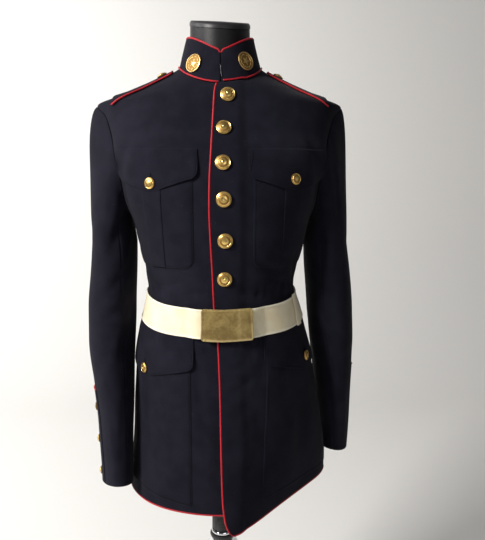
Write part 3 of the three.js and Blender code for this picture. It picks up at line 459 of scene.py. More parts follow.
def makeTube(name, path, radius, material, sides=10):    # a cord with rounded ends
    path = np.asarray(path, float)
    ends = [0.04, 0.5, 0.87]
    a, b = unit(path[0] - path[1]), unit(path[-1] - path[-2])
    head = [path[0] + a * radius * math.sqrt(1 - e * e) for e in ends]
    tail = [path[-1] + b * radius * math.sqrt(1 - e * e) for e in ends[::-1]]
    size = np.array(ends + [1.0] * len(path) + ends[::-1]) * radius
    size[0] = size[-1] = 0
    path = np.concatenate([head, path, tail])
    ahead = np.roll(path, -1, 0) - np.roll(path, 1, 0)
    ahead[0], ahead[-1] = path[1] - path[0], path[-1] - path[-2]
    ahead = unit(ahead)
    normal = np.array([0, 0, 1.0])
    if abs(ahead[0][2]) > 0.8:
        normal = np.array([0, 1.0, 0])
    turn = np.linspace(0, 2 * math.pi, sides + 1)
    points = np.empty((len(path), sides + 1, 3))
    for k, t in enumerate(ahead):
        normal = unit(normal - t * normal.dot(t))
        across = np.cross(t, normal)
        points[k] = path[k] + size[k] * (np.cos(turn)[:, None] * normal + np.sin(turn)[:, None] * across)
    piece = makeGrid(name, points, material, wrap=True)
    outwards(piece)
    roundEdges(piece, 60)
    return piece


def turned(name, profile, sides, material, height=0.0):  # a turned shape drawn out ring by ring
    bpy.ops.object.select_all(action='DESELECT')
    thin = 0.002
    r, h = max(profile[0][0], thin), profile[0][1]
    bpy.ops.mesh.primitive_circle_add(vertices=sides, radius=r * mm, location=(0, 0, 0))
    piece = bpy.context.object
    piece.name = piece.data.name = name
    bpy.ops.object.mode_set(mode='EDIT')
    bpy.ops.mesh.select_all(action='SELECT')
    bpy.ops.transform.translate(value=(0, 0, h * mm))
    for nextR, nextH in profile[1:]:
        nextR = max(nextR, thin)
        bpy.ops.mesh.extrude_edges_move(TRANSFORM_OT_translate={'value': (0, 0, (nextH - h) * mm)})
        k = nextR / r
        bpy.ops.transform.resize(value=(k, k, 1), center_override=(0, 0, nextH * mm))
        r, h = nextR, nextH
    bpy.ops.object.mode_set(mode='OBJECT')
    mergeDoubles(piece, 0.01)
    outwards(piece)
    piece.data.transform(Matrix.Translation((0, 0, height * mm)))
    piece.data.materials.clear()
    piece.data.materials.append(material)
    roundEdges(piece, 35)
    return piece


def seatMatrix(p, n, up=(0, 0, 1), size=1.0):            # z of the piece looks along n
    n, up = Vector(n).normalized(), Vector(up)
    x = up.cross(n).normalized()
    y = n.cross(x)
    m = Matrix((x, y, n)).transposed().to_4x4() @ Matrix.Scale(size, 4)
    m.translation = (Vector(p) + Vector((0, 0, neckHeight))) * mm
    return m


def copyOf(master, name, matrix):
    piece = master.copy()
    piece.data = master.data.copy()
    piece.name = piece.data.name = name
    piece.data.transform(matrix)
    bpy.context.scene.collection.objects.link(piece)
    return piece


def joinAll(name, pieces):
    bpy.ops.object.select_all(action='DESELECT')
    for piece in pieces:
        piece.select_set(True)
    bpy.context.view_layer.objects.active = pieces[0]
    bpy.ops.object.join()
    pieces[0].name = pieces[0].data.name = name
    return pieces[0]


def scatter(name, master, matrices, material):           # many small copies joined in one mesh
    master.data.materials.clear()
    master.data.materials.append(material)
    piece = joinAll(name, [copyOf(master, name + str(k), m) for k, m in enumerate(matrices)])
    roundEdges(piece, 60)
    return piece


def spaced(count, length, marks=(0.9, 2.0, 3.1, 4.2, 6.0)):      # shares with extra columns at both ends
    ends = [m / length for m in marks if m / length < 0.2]
    inner = np.linspace(ends[-1] if ends else 0, 1 - (ends[-1] if ends else 0), count)
    return np.array([0.0] + ends[:-1] + list(inner) + [1 - e for e in ends[:-1][::-1]] + [1.0])


def ride(piece, slot, *nodes):
    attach(piece, 'root')
    if nodes:
        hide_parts(*nodes)
    return piece


# Materials.

class Wire:              # a socket that can be added to, multiplied and so on
    def __init__(self, tree, socket=None):
        self.tree, self.socket = tree, socket

    def feed(self, target, value):
        if isinstance(value, Wire):
            self.tree.links.new(value.socket, target)
        else:
            target.default_value = value

    def node(self, kind, settings=None, sockets=None, out=0):
        made = self.tree.nodes.new(kind)
        for name, value in (settings or {}).items():
            if name == 'stops':
                ramp = made.color_ramp.elements
                for k, (place, colour) in enumerate(value):
                    stop = ramp[k] if k < 2 else ramp.new(place)
                    stop.position, stop.color = place, (*colour, 1)
            else:
                setattr(made, name, value)
        for name, value in (sockets or {}).items():
            self.feed(made.inputs[name], value)
        return Wire(self.tree, made.outputs[out])

    def maths(self, kind, first, second=0.0):
        return self.node('ShaderNodeMath', {'operation': kind}, {0: first, 1: second})

    def __add__(self, other): return self.maths('ADD', self, other)
    def __radd__(self, other): return self.maths('ADD', other, self)
    def __sub__(self, other): return self.maths('SUBTRACT', self, other)
    def __rsub__(self, other): return self.maths('SUBTRACT', other, self)
    def __mul__(self, other): return self.maths('MULTIPLY', self, other)
    def __rmul__(self, other): return self.maths('MULTIPLY', other, self)
    def __truediv__(self, other): return self.maths('DIVIDE', self, other)
    def __rtruediv__(self, other): return self.maths('DIVIDE', other, self)
    def __pow__(self, other): return self.maths('POWER', self, other)


def colourMix(w, share, first, second):
    four = lambda c: c if isinstance(c, Wire) else (*c, 1)
    return w.node('ShaderNodeMix', {'data_type': 'RGBA'}, {0: share, 6: four(first), 7: four(second)}, 2)


def noise(w, where, scale, detail=2.0, rough=0.5):
    return w.node('ShaderNodeTexNoise', {}, {'Vector': where, 'Scale': scale, 'Detail': detail,
                                             'Roughness': rough}, 'Fac')


def between(w, value, low, high):        # 0 below low, 1 above high, soft between
    return w.node('ShaderNodeMapRange', {'interpolation_type': 'SMOOTHSTEP'},
                  {'Value': value, 'From Min': low, 'From Max': high})


def startMaterial(name):
    made = bpy.data.materials.new(name)
    made.use_nodes = True
    tree = made.node_tree
    w = Wire(tree)
    where = w.node('ShaderNodeTexCoord', {}, {}, 'Object')
    flat = w.node('ShaderNodeTexCoord', {}, {}, 'UV')
    split = w.node('ShaderNodeSeparateXYZ', {}, {'Vector': flat})
    down = Wire(tree, split.socket.node.outputs[1])
    return made, w, where, split, down


def finishMaterial(made, w, colour, rough, height=None, depth=0.3, strength=0.6, **fixed):
    shader = made.node_tree.nodes['Principled BSDF']
    w.feed(shader.inputs['Base Color'], colour if isinstance(colour, Wire) else (*colour, 1))
    w.feed(shader.inputs['Roughness'], rough)
    for name, value in fixed.items():
        shader.inputs[name.replace('_', ' ')].default_value = value
    if height is not None:
        bump = w.node('ShaderNodeBump', {}, {'Strength': strength, 'Distance': depth * mm, 'Height': height})
        w.feed(shader.inputs['Normal'], bump)
    return made


finish = {
    'wool': (0.0058, 0.0056, 0.0105), 'woolLight': (0.0100, 0.0097, 0.0165), 'lint': (0.05, 0.05, 0.06),
    'red': (0.52, 0.014, 0.024), 'redDeep': (0.27, 0.006, 0.014), 'gilt': (0.86, 0.60, 0.20),
    'giltTarnishAndShade': (0.30, 0.17, 0.05), 'bronze': (0.62, 0.42, 0.16), 'brass': (0.47, 0.35, 0.135),
    'brassBrown': (0.30, 0.205, 0.075), 'brassHighlight': (0.72, 0.56, 0.27), 'web': (0.74, 0.64, 0.43),
    'webLight': (0.78, 0.70, 0.51), 'jersey': (0.006, 0.0056, 0.006), 'cap': (0.014, 0.013, 0.0145),
}


def woolMaterial(name, base, light, sheen=0.03):
    made, w, where, right, up = startMaterial(name)
    cloud = noise(w, where, 9, 3)
    patch = noise(w, where, 46, 2)
    nap = noise(w, where, 950, 4, 0.65)
    rib = w.maths('SINE', (right + up) * 5200)
    lint = between(w, noise(w, where, 330, 1), 0.765, 0.80)
    shade = colourMix(w, between(w, cloud * 0.6 + patch * 0.4, 0.35, 0.68), base, light)
    colour = colourMix(w, lint * 0.55, shade, finish['lint'])
    rough = 0.80 + nap * 0.16
    height = nap * 0.75 + rib * 0.12 + patch * 1.2
    return finishMaterial(made, w, colour, rough, height, 0.35, 0.75, Sheen_Weight=sheen,
                          Sheen_Roughness=0.45, Specular_IOR_Level=0.07)


def pipingMaterial():
    made, w, where, right, up = startMaterial('redPiping')
    twist = w.maths('SINE', right * 2400 + up * 1500)
    nap = noise(w, where, 700, 3)
    colour = colourMix(w, between(w, nap + twist * 0.12, 0.30, 0.72), finish['redDeep'], finish['red'])
    return finishMaterial(made, w, colour, 0.50 + nap * 0.2, nap + twist * 0.5, 0.25, 0.7,
                          Sheen_Weight=0.05, Sheen_Roughness=0.35, Specular_IOR_Level=0.25)


def metalMaterial(name, bright, dark, rough=0.20, wear=0.5):
    made, w, where, right, up = startMaterial(name)
    mottle = noise(w, where, 160, 4, 0.6)
    pits = noise(w, where, 1500, 2)
    # Painted shade and a painted dark reflection: the marked hollows and the outer button rim are darkened,
    # mixed with random tarnish mottle.
    deep = w.node('ShaderNodeAttribute', {'attribute_name': 'recessShade'}, {}, 'Fac')
    tarnishAndRecessShade = between(w, deep * 0.75 + mottle * wear, 0.45, 0.95)
    colour = colourMix(w, tarnishAndRecessShade, bright, dark)
    return finishMaterial(made, w, colour, rough + mottle * 0.16 + tarnishAndRecessShade * 0.3, pits + mottle * 0.5, 0.06, 0.4,
                          Metallic=1.0)


def plateMaterial():
    made, w, where, right, up = startMaterial('tarnishedBrass')
    cloud = noise(w, where, 34, 5, 0.62)
    spots = noise(w, where, 210, 3, 0.6)
    brush = noise(w, where, 1200, 1)
    paintedHighlight = w.node('ShaderNodeAttribute', {'attribute_name': 'paintedHighlight'}, {}, 'Fac')
    # Painted highlight and reflection: the marked rim and a vertical band are mixed toward pale brass.
    stain = between(w, cloud * 0.7 + spots * 0.3, 0.38, 0.62)
    brown = colourMix(w, stain, finish['brassBrown'], finish['brass'])
    colour = colourMix(w, paintedHighlight * (0.35 + spots * 0.8), brown, finish['brassHighlight'])
    return finishMaterial(made, w, colour, 0.34 + cloud * 0.25, spots + brush * 0.4, 0.08, 0.5, Metallic=0.9)


def webMaterial():
    made, w, where, right, up = startMaterial('beltWeb')
    warp = w.maths('SINE', up * 4200)
    weft = w.maths('SINE', right * 2600)
    dust = noise(w, where, 26, 4)
    fuzz = noise(w, where, 900, 3)
    edge = w.node('ShaderNodeAttribute', {'attribute_name': 'paintedHighlight'}, {}, 'Fac')
    colour = colourMix(w, between(w, dust, 0.38, 0.66), finish['web'], finish['webLight'])
    # Painted highlight: the crest of each selvedge ridge is painted paler, and the keeper a steady share paler
    # all over.
    colour = colourMix(w, edge * 0.55, colour, (0.93, 0.90, 0.82))
    return finishMaterial(made, w, colour, 0.62 + fuzz * 0.2, warp * 0.4 + weft * 0.4 + fuzz * 0.5, 0.28, 0.7,
                          Sheen_Weight=0.15, Sheen_Roughness=0.4)


def plainMaterial(name, base, light, rough, scale, bump, metal=0.0, **fixed):
    made, w, where, right, up = startMaterial(name)
    cloud = noise(w, where, scale, 4)
    fine = noise(w, where, scale * 14, 3)
    colour = colourMix(w, cloud, base, light)
    return finishMaterial(made, w, colour, rough + fine * 0.14 - 0.07, fine + cloud * 0.6, bump, 0.5,
                          Metallic=metal, **fixed)


wool = woolMaterial('navyWool', finish['wool'], finish['woolLight'])
thread = plainMaterial('navyThread', (0.0045, 0.0045, 0.0075), (0.008, 0.008, 0.012), 0.8, 300, 0.1,
                       Specular_IOR_Level=0.08)
piping = pipingMaterial()
gilt = metalMaterial('gilt', finish['gilt'], finish['giltTarnishAndShade'])
bronze = metalMaterial('bronzeGilt', finish['bronze'], finish['giltTarnishAndShade'], 0.3, 0.8)
plateBrass = plateMaterial()
web = webMaterial()
jersey = plainMaterial('blackJersey', finish['jersey'], (0.011, 0.010, 0.011), 0.5, 30, 0.3,
                       Specular_IOR_Level=0.22)
capCloth = plainMaterial('capBand', finish['cap'], (0.024, 0.022, 0.024), 0.42, 40, 0.2,
                         Specular_IOR_Level=0.3)
blackPlastic = plainMaterial('blackPlastic', (0.010, 0.010, 0.010), (0.016, 0.016, 0.016), 0.38, 60, 0.08)
chrome = plainMaterial('chrome', (0.72, 0.73, 0.75), (0.80, 0.81, 0.83), 0.10, 50, 0.02, 1.0)
steel = plainMaterial('steel', (0.10, 0.10, 0.105), (0.15, 0.15, 0.155), 0.5, 90, 0.03, 1.0)
basePaint = plainMaterial('basePaint', (0.012, 0.012, 0.013), (0.02, 0.02, 0.021), 0.40, 80, 0.1)
print('materials made')


# The coat's panels.

def rollEdges(us, vs, width, height, sides=(1, 1, 1, 1), depth=0.8, reach=3.0):
    x0, x1 = us * width, (1 - us) * width
    y0, y1 = vs * height, (1 - vs) * height
    near = np.zeros((len(vs), len(us)))
    for use, d in zip(sides, (x0[None, :], x1[None, :], y0[:, None], y1[:, None])):
        if use:
            near = np.maximum(near, 1 - smooth(0, reach, d) + 0 * near)
    return -depth * near


panelHeight = 810        # for the spacing of the rows
panels = {               # node, side, back, columns, rows, width, flat size, flat area
    'leftFront': ('front_left', 1, False, 84, 190, 250, (0.32, 0.82), 0.221),
    'rightFront': ('front_right', -1, False, 84, 190, 250, (0.32, 0.81), 0.221),
    'leftBack': ('back_left', 1, True, 60, 180, 215, (0.24, 0.80), 0.155),
    'rightBack': ('back_right', -1, True, 60, 180, 215, (0.24, 0.80), 0.154),
}
for name, (node, side, back, cols, rows, width, flat, area) in panels.items():
    us, vs = spaced(cols, width), spaced(rows, panelHeight)
    deg, height = panelGrid(back, side, us, vs)
    lapped = side > 0 and not back
    roll = rollEdges(us, vs, width, panelHeight, (back, 1, 0, 1), 0.8)
    points, normals = coatFrame(deg, height, lapped, roll)
    piece = makeSheet(name, points, normals, coat['cloth'], wool)
    ride(piece, 'wool_cloth', node)
print('fronts and backs made')


# Sleeves.

sleeveRows = {
    'right': [
        [-275, 202, 2, 41, 70, 0, 0], [-330, 205, 0, 43, 68, 2, 0], [-400, 209.5, -4, 45, 65, 5, 0],
        [-460, 210.5, -12, 44, 62, 8, 0.02], [-540, 206, -26, 38, 58, 11, 0.06],
        [-620, 203, -37, 32, 54, 14, 0.12], [-700, 202, -46, 28.5, 51, 17, 0.2],
        [-732, 202, -50, 27.5, 50, 18, 0.25]],
    'left': [
        [-275, 201, 4, 40, 70, 0, 0], [-330, 207, 8, 43, 68, 0, 0], [-400, 214, 12, 44, 65, 0, 0],
        [-460, 219, 16, 42.5, 62, -3, 0], [-540, 224, 24, 36.5, 58, -6, 0],
        [-620, 229, 33, 31.5, 54, -8, 0.02], [-680, 231, 40, 29, 51, -10, 0.05],
        [-706, 231, 42, 28.5, 50, -10, 0.06]],
}
crownSpring = {'right': 60, 'left': 24}
# Folds of the sleeves: turn and height at both ends, half width, depth, bow.
sleeveFolds = {
    'right': [
        (150, -206, 92, -300, 12, -4.2, 6), (166, -232, 118, -330, 11, 2.6, 6),
        (110, -186, 96, -250, 15, 1.8, -4), (60, -228, 14, -262, 13, -1.6, 4),
        (142, -318, 88, -372, 11, -2.8, 5), (100, -352, 40, -384, 13, -1.8, -4),
        (128, -390, 74, -424, 11, -2.2, 4), (86, -412, 30, -440, 12, -1.6, 4),
        (150, -440, 104, -490, 12, -2.0, 4), (120, -420, 84, -520, 14, 1.8, 5),
        (70, -480, 22, -530, 14, -1.3, -4), (110, -560, 96, -700, 12, -1.6, 4),
        (60, -600, 66, -716, 13, 1.2, -3), (286, -240, 330, -300, 14, -2.4, 5),
        (262, -330, 318, -400, 14, -2.8, 6), (236, -410, 300, -450, 12, -2.4, 5),
        (250, -470, 306, -540, 13, -1.8, 4), (214, -300, 240, -380, 13, 2.0, 5),
        (40, -60, 66, -140, 13, -1.5, 4), (330, -70, 300, -150, 14, -1.7, 4),
        (14, -52, 22, -120, 12, 1.0, 3), (200, -440, 190, -560, 12, -1.6, 3),
        (280, -560, 270, -700, 13, -1.2, 4)],
    'left': [
        (64, -140, 82, -330, 11, -2.2, 5), (96, -170, 104, -360, 12, 1.7, 4),
        (34, -120, 46, -250, 12, -1.3, -4), (128, -226, 112, -330, 12, -2.6, 5),
        (150, -330, 100, -382, 11, -2.2, 4), (90, -384, 36, -420, 12, -1.7, 4),
        (124, -424, 70, -462, 11, -2.4, 5), (74, -470, 26, -500, 12, -1.5, -3),
        (110, -500, 92, -610, 13, 1.5, 4), (136, -520, 124, -640, 12, -1.8, 4),
        (60, -560, 56, -690, 12, -1.2, 3), (286, -236, 330, -310, 14, -2.4, 5),
        (260, -340, 316, -404, 14, -2.7, 6), (240, -420, 300, -466, 12, -2.5, 5),
        (246, -486, 306, -560, 13, -1.7, 4), (214, -290, 236, -390, 13, 2.1, 5),
        (330, -66, 304, -150, 14, -1.6, 4), (14, -54, 30, -126, 12, -1.0, 3),
        (196, -430, 186, -560, 12, -1.6, 3), (282, -566, 272, -690, 13, -1.2, 4)],
}


def sleeveFrame(name, turn, t, out=0.0):
    side = 1 if name == 'left' else -1
    rows = sleeveRows[name]
    get = [column(rows, k) for k in range(1, 7)]
    first, last = rows[0][0], rows[-1][0]

    def ring(turn, z):
        x, y, wide, deep, twist, tilt = [g(z) for g in get]
        a, b = np.radians(turn), np.radians(twist)
        lx, ly = wide * np.cos(a), -deep * np.sin(a)
        px, py = lx * np.cos(b) + ly * np.sin(b), -lx * np.sin(b) + ly * np.cos(b)
        return np.stack([side * (x + px), y + py, z - tilt * py], -1)

    starts = {}

    def start(turn):
        made = np.empty(np.shape(turn) + (3,))
        for at in np.ndindex(np.shape(turn)):
            whole = round(float((turn[at] + 720) % 360), 3)
            if whole not in starts:
                z = float(armholeZ(whole))
                angle = side * shareAngle(z, float(armholeShare(whole)), side)
                p = plainPoint(angle, z, False)
                starts[whole] = p + np.array([side * 0.15, 0, 0])
            made[at] = starts[whole]
        return made

    def point(turn, t):
        low = ring(turn, mix(first, last, np.clip((t - 0.3) / 0.7, 0, 1)))
        k = np.clip(t / 0.3, 0, 1)[..., None]
        a, b = start(turn), ring(turn, np.full(np.shape(turn), float(first)))
        crown = 0.5 + 0.5 * np.cos(np.radians(turn))
        span = b[..., 2] - a[..., 2]
        ta = np.stack([side * (14 + crownSpring[name] * crown ** 1.5), 0 * crown, -16 - 10 * crown], -1)
        tb = np.stack([0 * span, 0 * span, span * 0.8], -1)
        k2, k3 = k * k, k * k * k
        high = a * (2 * k3 - 3 * k2 + 1) + ta * (k3 - 2 * k2 + k) + b * (3 * k2 - 2 * k3) + tb * (k3 - k2)
        return np.where((t < 0.3)[..., None], high, low)

    turn, t = np.broadcast_arrays(np.asarray(turn, float), np.asarray(t, float))
    p = point(turn, t)
    a = point(turn + 0.5, t) - point(turn - 0.5, t)
    b = point(turn, np.minimum(1, t + 0.001)) - point(turn, np.maximum(0, t - 0.001))
    n = unit(np.cross(a, b)) * side
    around = (turn + 720) % 360
    folds = [(a0 * 0.98, z0, a1 * 0.98, z1, h, d, w) for a0, z0, a1, z1, h, d, w in sleeveFolds[name]]
    wave = sum(foldHeight((around + shift) * 0.98, p[..., 2], folds) for shift in (-360, 0, 360))
    slow = 0.6 * np.sin(p[..., 2] / 37 + 2 * np.radians(turn)) * np.sin(p[..., 2] / 61 - np.radians(turn))
    wave = (wave + slow) * smooth(0, 0.05, t)
    return p + n * (wave + out)[..., None], n


sleeveSize = {'perDegree': 0.95, 'length': 640}
sleevePieces = {         # node, turns at both seams, columns, flat size, flat areas
    'TopSleeve': ('top_sleeve_', (-119.9, 119.9), 76, (0.24, 0.72), {'left': 0.124, 'right': 0.130}),
    'UnderSleeve': ('under_sleeve_', (120.1, 239.9), 40, (0.13, 0.58), {'left': 0.055, 'right': 0.058}),
}
for side in ('left', 'right'):
    for part, (node, (a, b), cols, flat, area) in sleevePieces.items():
        around = (b - a) * sleeveSize['perDegree']
        us, vs = spaced(cols, around), spaced(150, sleeveSize['length'])
        t = np.where(vs < 0.4, vs / 0.4 * 0.3, 0.3 + (vs - 0.4) / 0.6 * 0.7)
        roll = rollEdges(us, vs, around, sleeveSize['length'], (1, 1, 0, 0), 0.7)
        points, normals = sleeveFrame(side, mix(a, b, us)[None, :] + 0 * t[:, None],
                                      t[:, None] + 0 * us[None, :], roll)
        piece = makeSheet(side + part, points, normals, coat['cloth'], wool)
        ride(piece, 'wool_cloth', node + side)
        side + 'Front'
print('sleeves made')


# Collar and pipings.

collarTopSize = {'side': 62, 'front': 85, 'back': 52, 'frontZ': 53.5, 'sideZ': 90, 'backZ': 86}
collarSize = {'around': 470, 'height': 52, 'thick': 3.0}
pipe = 1.6


def collarPoint(deg, v):
    deg, v = np.broadcast_arrays(np.asarray(deg, float), np.asarray(v, float))
    wrapped = np.where(deg > 180, deg - 360, deg)
    low = plainPoint(wrapped, neckZ(wrapped), False)
    low[..., 2] += 0.9
    a = np.where(deg > 180, 360 - deg, deg)
    s, c = np.sin(np.radians(deg)), np.cos(np.radians(deg))
    rise = np.maximum(0, np.sin(np.radians(np.minimum(a, 180 - a)))) ** 1.25
    top = collarTopSize
    z = mix(np.where(a <= 90, top['frontZ'], top['backZ']), top['sideZ'], rise)
    high = np.stack([top['side'] * s, -np.where(c > 0, top['front'], top['back']) * c, z], -1)
    return mix(low, high, v[..., None])


def collarFrame(deg, v, out=0.0):
    p = collarPoint(deg, v)
    a = collarPoint(deg + 0.2, v) - collarPoint(deg - 0.2, v)
    b = collarPoint(deg, v + 0.01) - collarPoint(deg, v - 0.01)
    n = unit(np.cross(a, b))
    wave = 0.6 * np.sin(np.radians(deg * 3 + 40)) * v * (1 - v) * 3
    return p + n * np.asarray(out + wave)[..., None], n


us, vs = spaced(200, collarSize['around']), spaced(22, collarSize['height'])
deg = mix(0.5, 359.5, us)[None, :] + 0 * vs[:, None]
high = vs[:, None] + 0 * deg
# The top corners are rounded at the centre front.
edge = np.minimum(us, 1 - us)[None, :] * collarSize['around']
high = high - (high ** 3) * 0.10 * (1 - smooth(0, 7, edge))
roll = rollEdges(us, vs, collarSize['around'], collarSize['height'], (1, 1, 1, 1), 0.6, 2.4)
points, normals = collarFrame(deg, high, roll)
collar = makeSheet('collarBand', points, normals, collarSize['thick'], wool)
ride(collar, 'wool_cloth', 'collar')

deg = mix(1.2, 358.8, np.linspace(0, 1, 300))
p, n = collarFrame(deg, np.ones(300))
path = p - n * collarSize['thick'] / 2 + np.array([0, 0, pipe + 0.15])
edge = np.minimum(deg, 360 - deg)
path[:, 2] -= 4.0 * (1 - smooth(0, 4.5, edge))
ride(makeTube('collarTopPiping', path, pipe, piping), 'red_piping', 'collar_piping')

deg = mix(3, 357, np.linspace(0, 1, 300))
p, n = collarFrame(deg, np.zeros(300))
flat = unit(n * np.array([1, 1, 0]))
lap = 1 - smooth(20, 30, deg)
path = p + flat * (pipe * 0.75) + (pipe * 0.7 + 2.6 * lap)[:, None] * np.array([0, 0, 1])
ride(makeTube('neckSeamPiping', path, pipe * 0.9, piping), 'red_piping', 'neck_piping')


def panelPoint(back, side, u, v, out=-1.0):
    u, v = np.atleast_1d(u), np.atleast_1d(v)
    deg, height = np.empty(max(len(u), len(v))), np.empty(max(len(u), len(v)))
    for k in range(len(deg)):
        d, h = panelGrid(back, side, np.array([u[min(k, len(u) - 1)]]), np.array([v[min(k, len(v) - 1)]]))
        deg[k], height[k] = d[0, 0], h[0, 0]
    return coatFrame(deg, height, side > 0 and not back, out)


vs = np.linspace(0.992, 0.012, 260)
p, n = panelPoint(False, 1, 0.0, vs)
inner, _ = panelPoint(False, 1, 0.012, vs)
edgePath = p + unit(p - inner) * (pipe + 0.1) + n * 0.5
us = np.linspace(0.022, 0.998, 150)
h, _ = panelPoint(False, 1, us, 0.0)
hemPath = h + np.array([0, 0, -pipe - 0.1])
corner, cn = panelPoint(False, 1, 0.0, 0.0)
mid = corner[0] + cn[0] * 0.3 + np.array([-pipe * 0.75, 0, -pipe * 0.75])
bend = [mix(mix(edgePath[-1], mid, t), mix(mid, hemPath[0], t), t) for t in (0.25, 0.5, 0.75)]
path = np.concatenate([edgePath, bend, hemPath])
ride(makeTube('frontEdgePiping', path, pipe, piping), 'red_piping', 'front_piping')

paths = []
h, _ = panelPoint(False, -1, np.linspace(0.04, 0.999, 150), 0.0)
paths.append(h)
h, _ = panelPoint(True, -1, np.linspace(0.985, 0.003, 110), 0.0)
paths.append(h)
h, _ = panelPoint(True, 1, np.linspace(0.003, 0.98, 110), 0.0)
paths.append(h)
path = np.concatenate(paths) + np.array([0, 0, -pipe - 0.1])
ride(makeTube('hemPiping', path, pipe, piping), 'red_piping', 'hem_piping')
print('collar and pipings made')


# Shoulder straps.

strap = {'thick': 2.0, 'lift': 1.9, 'outer': 190, 'inner': 87, 'width': 56, 'taper': 5, 'farBack': 34}
# The front edge of a strap: distance from the centre, height on the shoulder.
strapEdge = [(76, 29), (88, 22.5), (112, 10), (140, -4.5), (170, -19), (192, -30), (205, -37), (212, -41.5)]
strapEdgeZ = curve([r[0] for r in strapEdge], [r[1] for r in strapEdge])


# The point of the section at a distance from the centre and a height.
def onShoulder(side, x, z, front):
    wide = body['left' if side > 0 else 'right'](z)
    deep = body['front'](z) if front else body['back'](z)
    across = body['squareLeft' if side > 0 else 'square'](z)
    share = np.clip(1 - (x / wide) ** across, 0, None) ** (1 / (across + body['ridge'](z)))
    return np.stack([side * x + 0 * z, (-1 if front else 1) * deep * share, z], -1)


# Points across a strap, from its back edge, k -1, to the front one, k 1.
def strapLine(side, u, ks):
    x = mix(strap['outer'], strap['inner'], u)
    heights = np.linspace(-26, 41, 400)
    wides = body['left' if side > 0 else 'right'](heights)
    top = float(np.interp(-x, -wides, heights))
    zs = top + (float(strapEdgeZ(x)) - top) * np.linspace(0, 1, 240) ** 2
    line = onShoulder(side, x, zs, True)
    low = float(strapEdgeZ(x))
    backZ = top - (top - low) * 0.25 * np.linspace(0, 1, 120) ** 2
    behind = onShoulder(side, x, backZ, False)
    behind = behind[behind[:, 1] < strap['farBack']]
    path = np.concatenate([behind[::-1][:-1], line])
    step = np.concatenate([[0], np.cumsum(np.linalg.norm(np.diff(path, axis=0), axis=1))])
    start = max(0, step[-1] - strap['width'] + strap['taper'] * u)
    at = mix(start, step[-1], (np.asarray(ks) + 1) / 2)
    return np.stack([np.interp(at, step, path[:, c]) for c in range(3)], -1)


def strapFrames(side, us, ks, out):
    points = np.stack([strapLine(side, u, ks) for u in us], 1)
    a = np.gradient(points, axis=1)
    b = np.gradient(points, axis=0)
    n = unit(np.cross(a, b))
    n = n * np.sign(n[..., 2:3] + 1e-9)
    return points + n * np.broadcast_to(out, points.shape[:2])[..., None], n


strapSeats = {}
for name, side in (('left', 1), ('right', -1)):
    us, ks = spaced(56, 120), spaced(24, 54) * 2 - 1
    u, k = us[None, :] + 0 * ks[:, None], ks[:, None] + 0 * us[None, :]
    near = np.minimum(1 - np.abs(k), np.minimum(u, 1 - u) * 2.6) * 27
    out = (strap['lift'] + strap['thick'] - 0.5 * (1 - smooth(0, 2.2, near))
           - 0.35 * np.exp(-((near - 4) / 0.9) ** 2))
    points, normals = strapFrames(side, us, ks, out)
    piece = makeSheet(name + 'Strap', points, normals, strap['thick'], wool)
    ride(piece, 'wool_cloth', 'strap_' + name)
    name + 'Front'
    name + 'Back'
    fine = np.linspace(0, 1, 100)
    edge, _ = strapFrames(side, fine, np.array([-1.0, -0.97, 0.97, 1.0]), strap['lift'] + 1.0)
    front = edge[3] + unit(edge[3] - edge[2]) * (pipe * 0.9)
    behind = edge[0] + unit(edge[0] - edge[1]) * (pipe * 0.9)
    ends, _ = strapFrames(side, np.array([0.96, 0.98, 1.0]), np.linspace(-1, 1, 40), strap['lift'] + 1.0)
    across = ends[:, 2] + unit(ends[:, 2] - ends[:, 1]) * (pipe * 0.9)
    path = np.concatenate([behind[:-1], across, front[::-1][1:]])
    ride(makeTube(name + 'StrapPiping', path, pipe * 0.9, piping), 'red_piping', 'strap_piping_' + name)
    p, n = strapFrames(side, np.array([0.80, 0.84, 0.88]), np.array([-0.3, 0.0, 0.3]),
                       strap['lift'] + strap['thick'])
    strapSeats[name] = (p[1, 1], n[1, 1])
print('shoulder straps made')


# Pockets.

def patch(name, side, us, vs, place, out, thick, bevel=0.4):
    arc, z = place(us[None, :] + 0 * vs[:, None], vs[:, None] + 0 * us[None, :])
    points, normals = coatFrame(angleAtArc(side, arc, z), z, side > 0, out)
    return makeSheet(name, points, normals, thick, wool, bevel=bevel)


def cornerLift(u, width, r):
    d = np.minimum(u, 1 - u) * width
    return np.where(d >= r, 0, r - np.sqrt(np.maximum(0, r * r - (r - d) ** 2)))


def flapLow(u, width, corner, point, r):         # a soft point with slightly hollow edges
    side = 1 - np.abs(u * 2 - 1)
    reach = side ** 1.12
    tip = mix(corner, point, reach)
    tip = tip + 2.6 * np.exp(-((1 - side) / 0.07) ** 2)
    return tip + cornerLift(u, width, r)


breast = {
    'width': 160, 'inset': 8, 'pleatHalf': 18, 'top': -112, 'point': -184, 'corner': -160, 'bottom': -311,
    'bagHeight': 167,
}
skirt = {'top': -468, 'point': -27, 'farFoot': -721, 'inset': 6, 'bagHeight': 258, 'flapHeight': 72}
stitchInset = 3.4
# Side, near edges, skirt width, button heights, flap corner, foot of the skirt pocket.
pocketPlaces = {
    'right': (-1, 39, 50, 212, -168, -498, -487, -742), 'left': (1, 44, 73, 205, -161, -483, -482, -729),
}
buttonSeats = []


def groove(near):        # the sewn line pressed in near an edge
    return -0.45 * np.exp(-((near - stitchInset) / 0.8) ** 2)


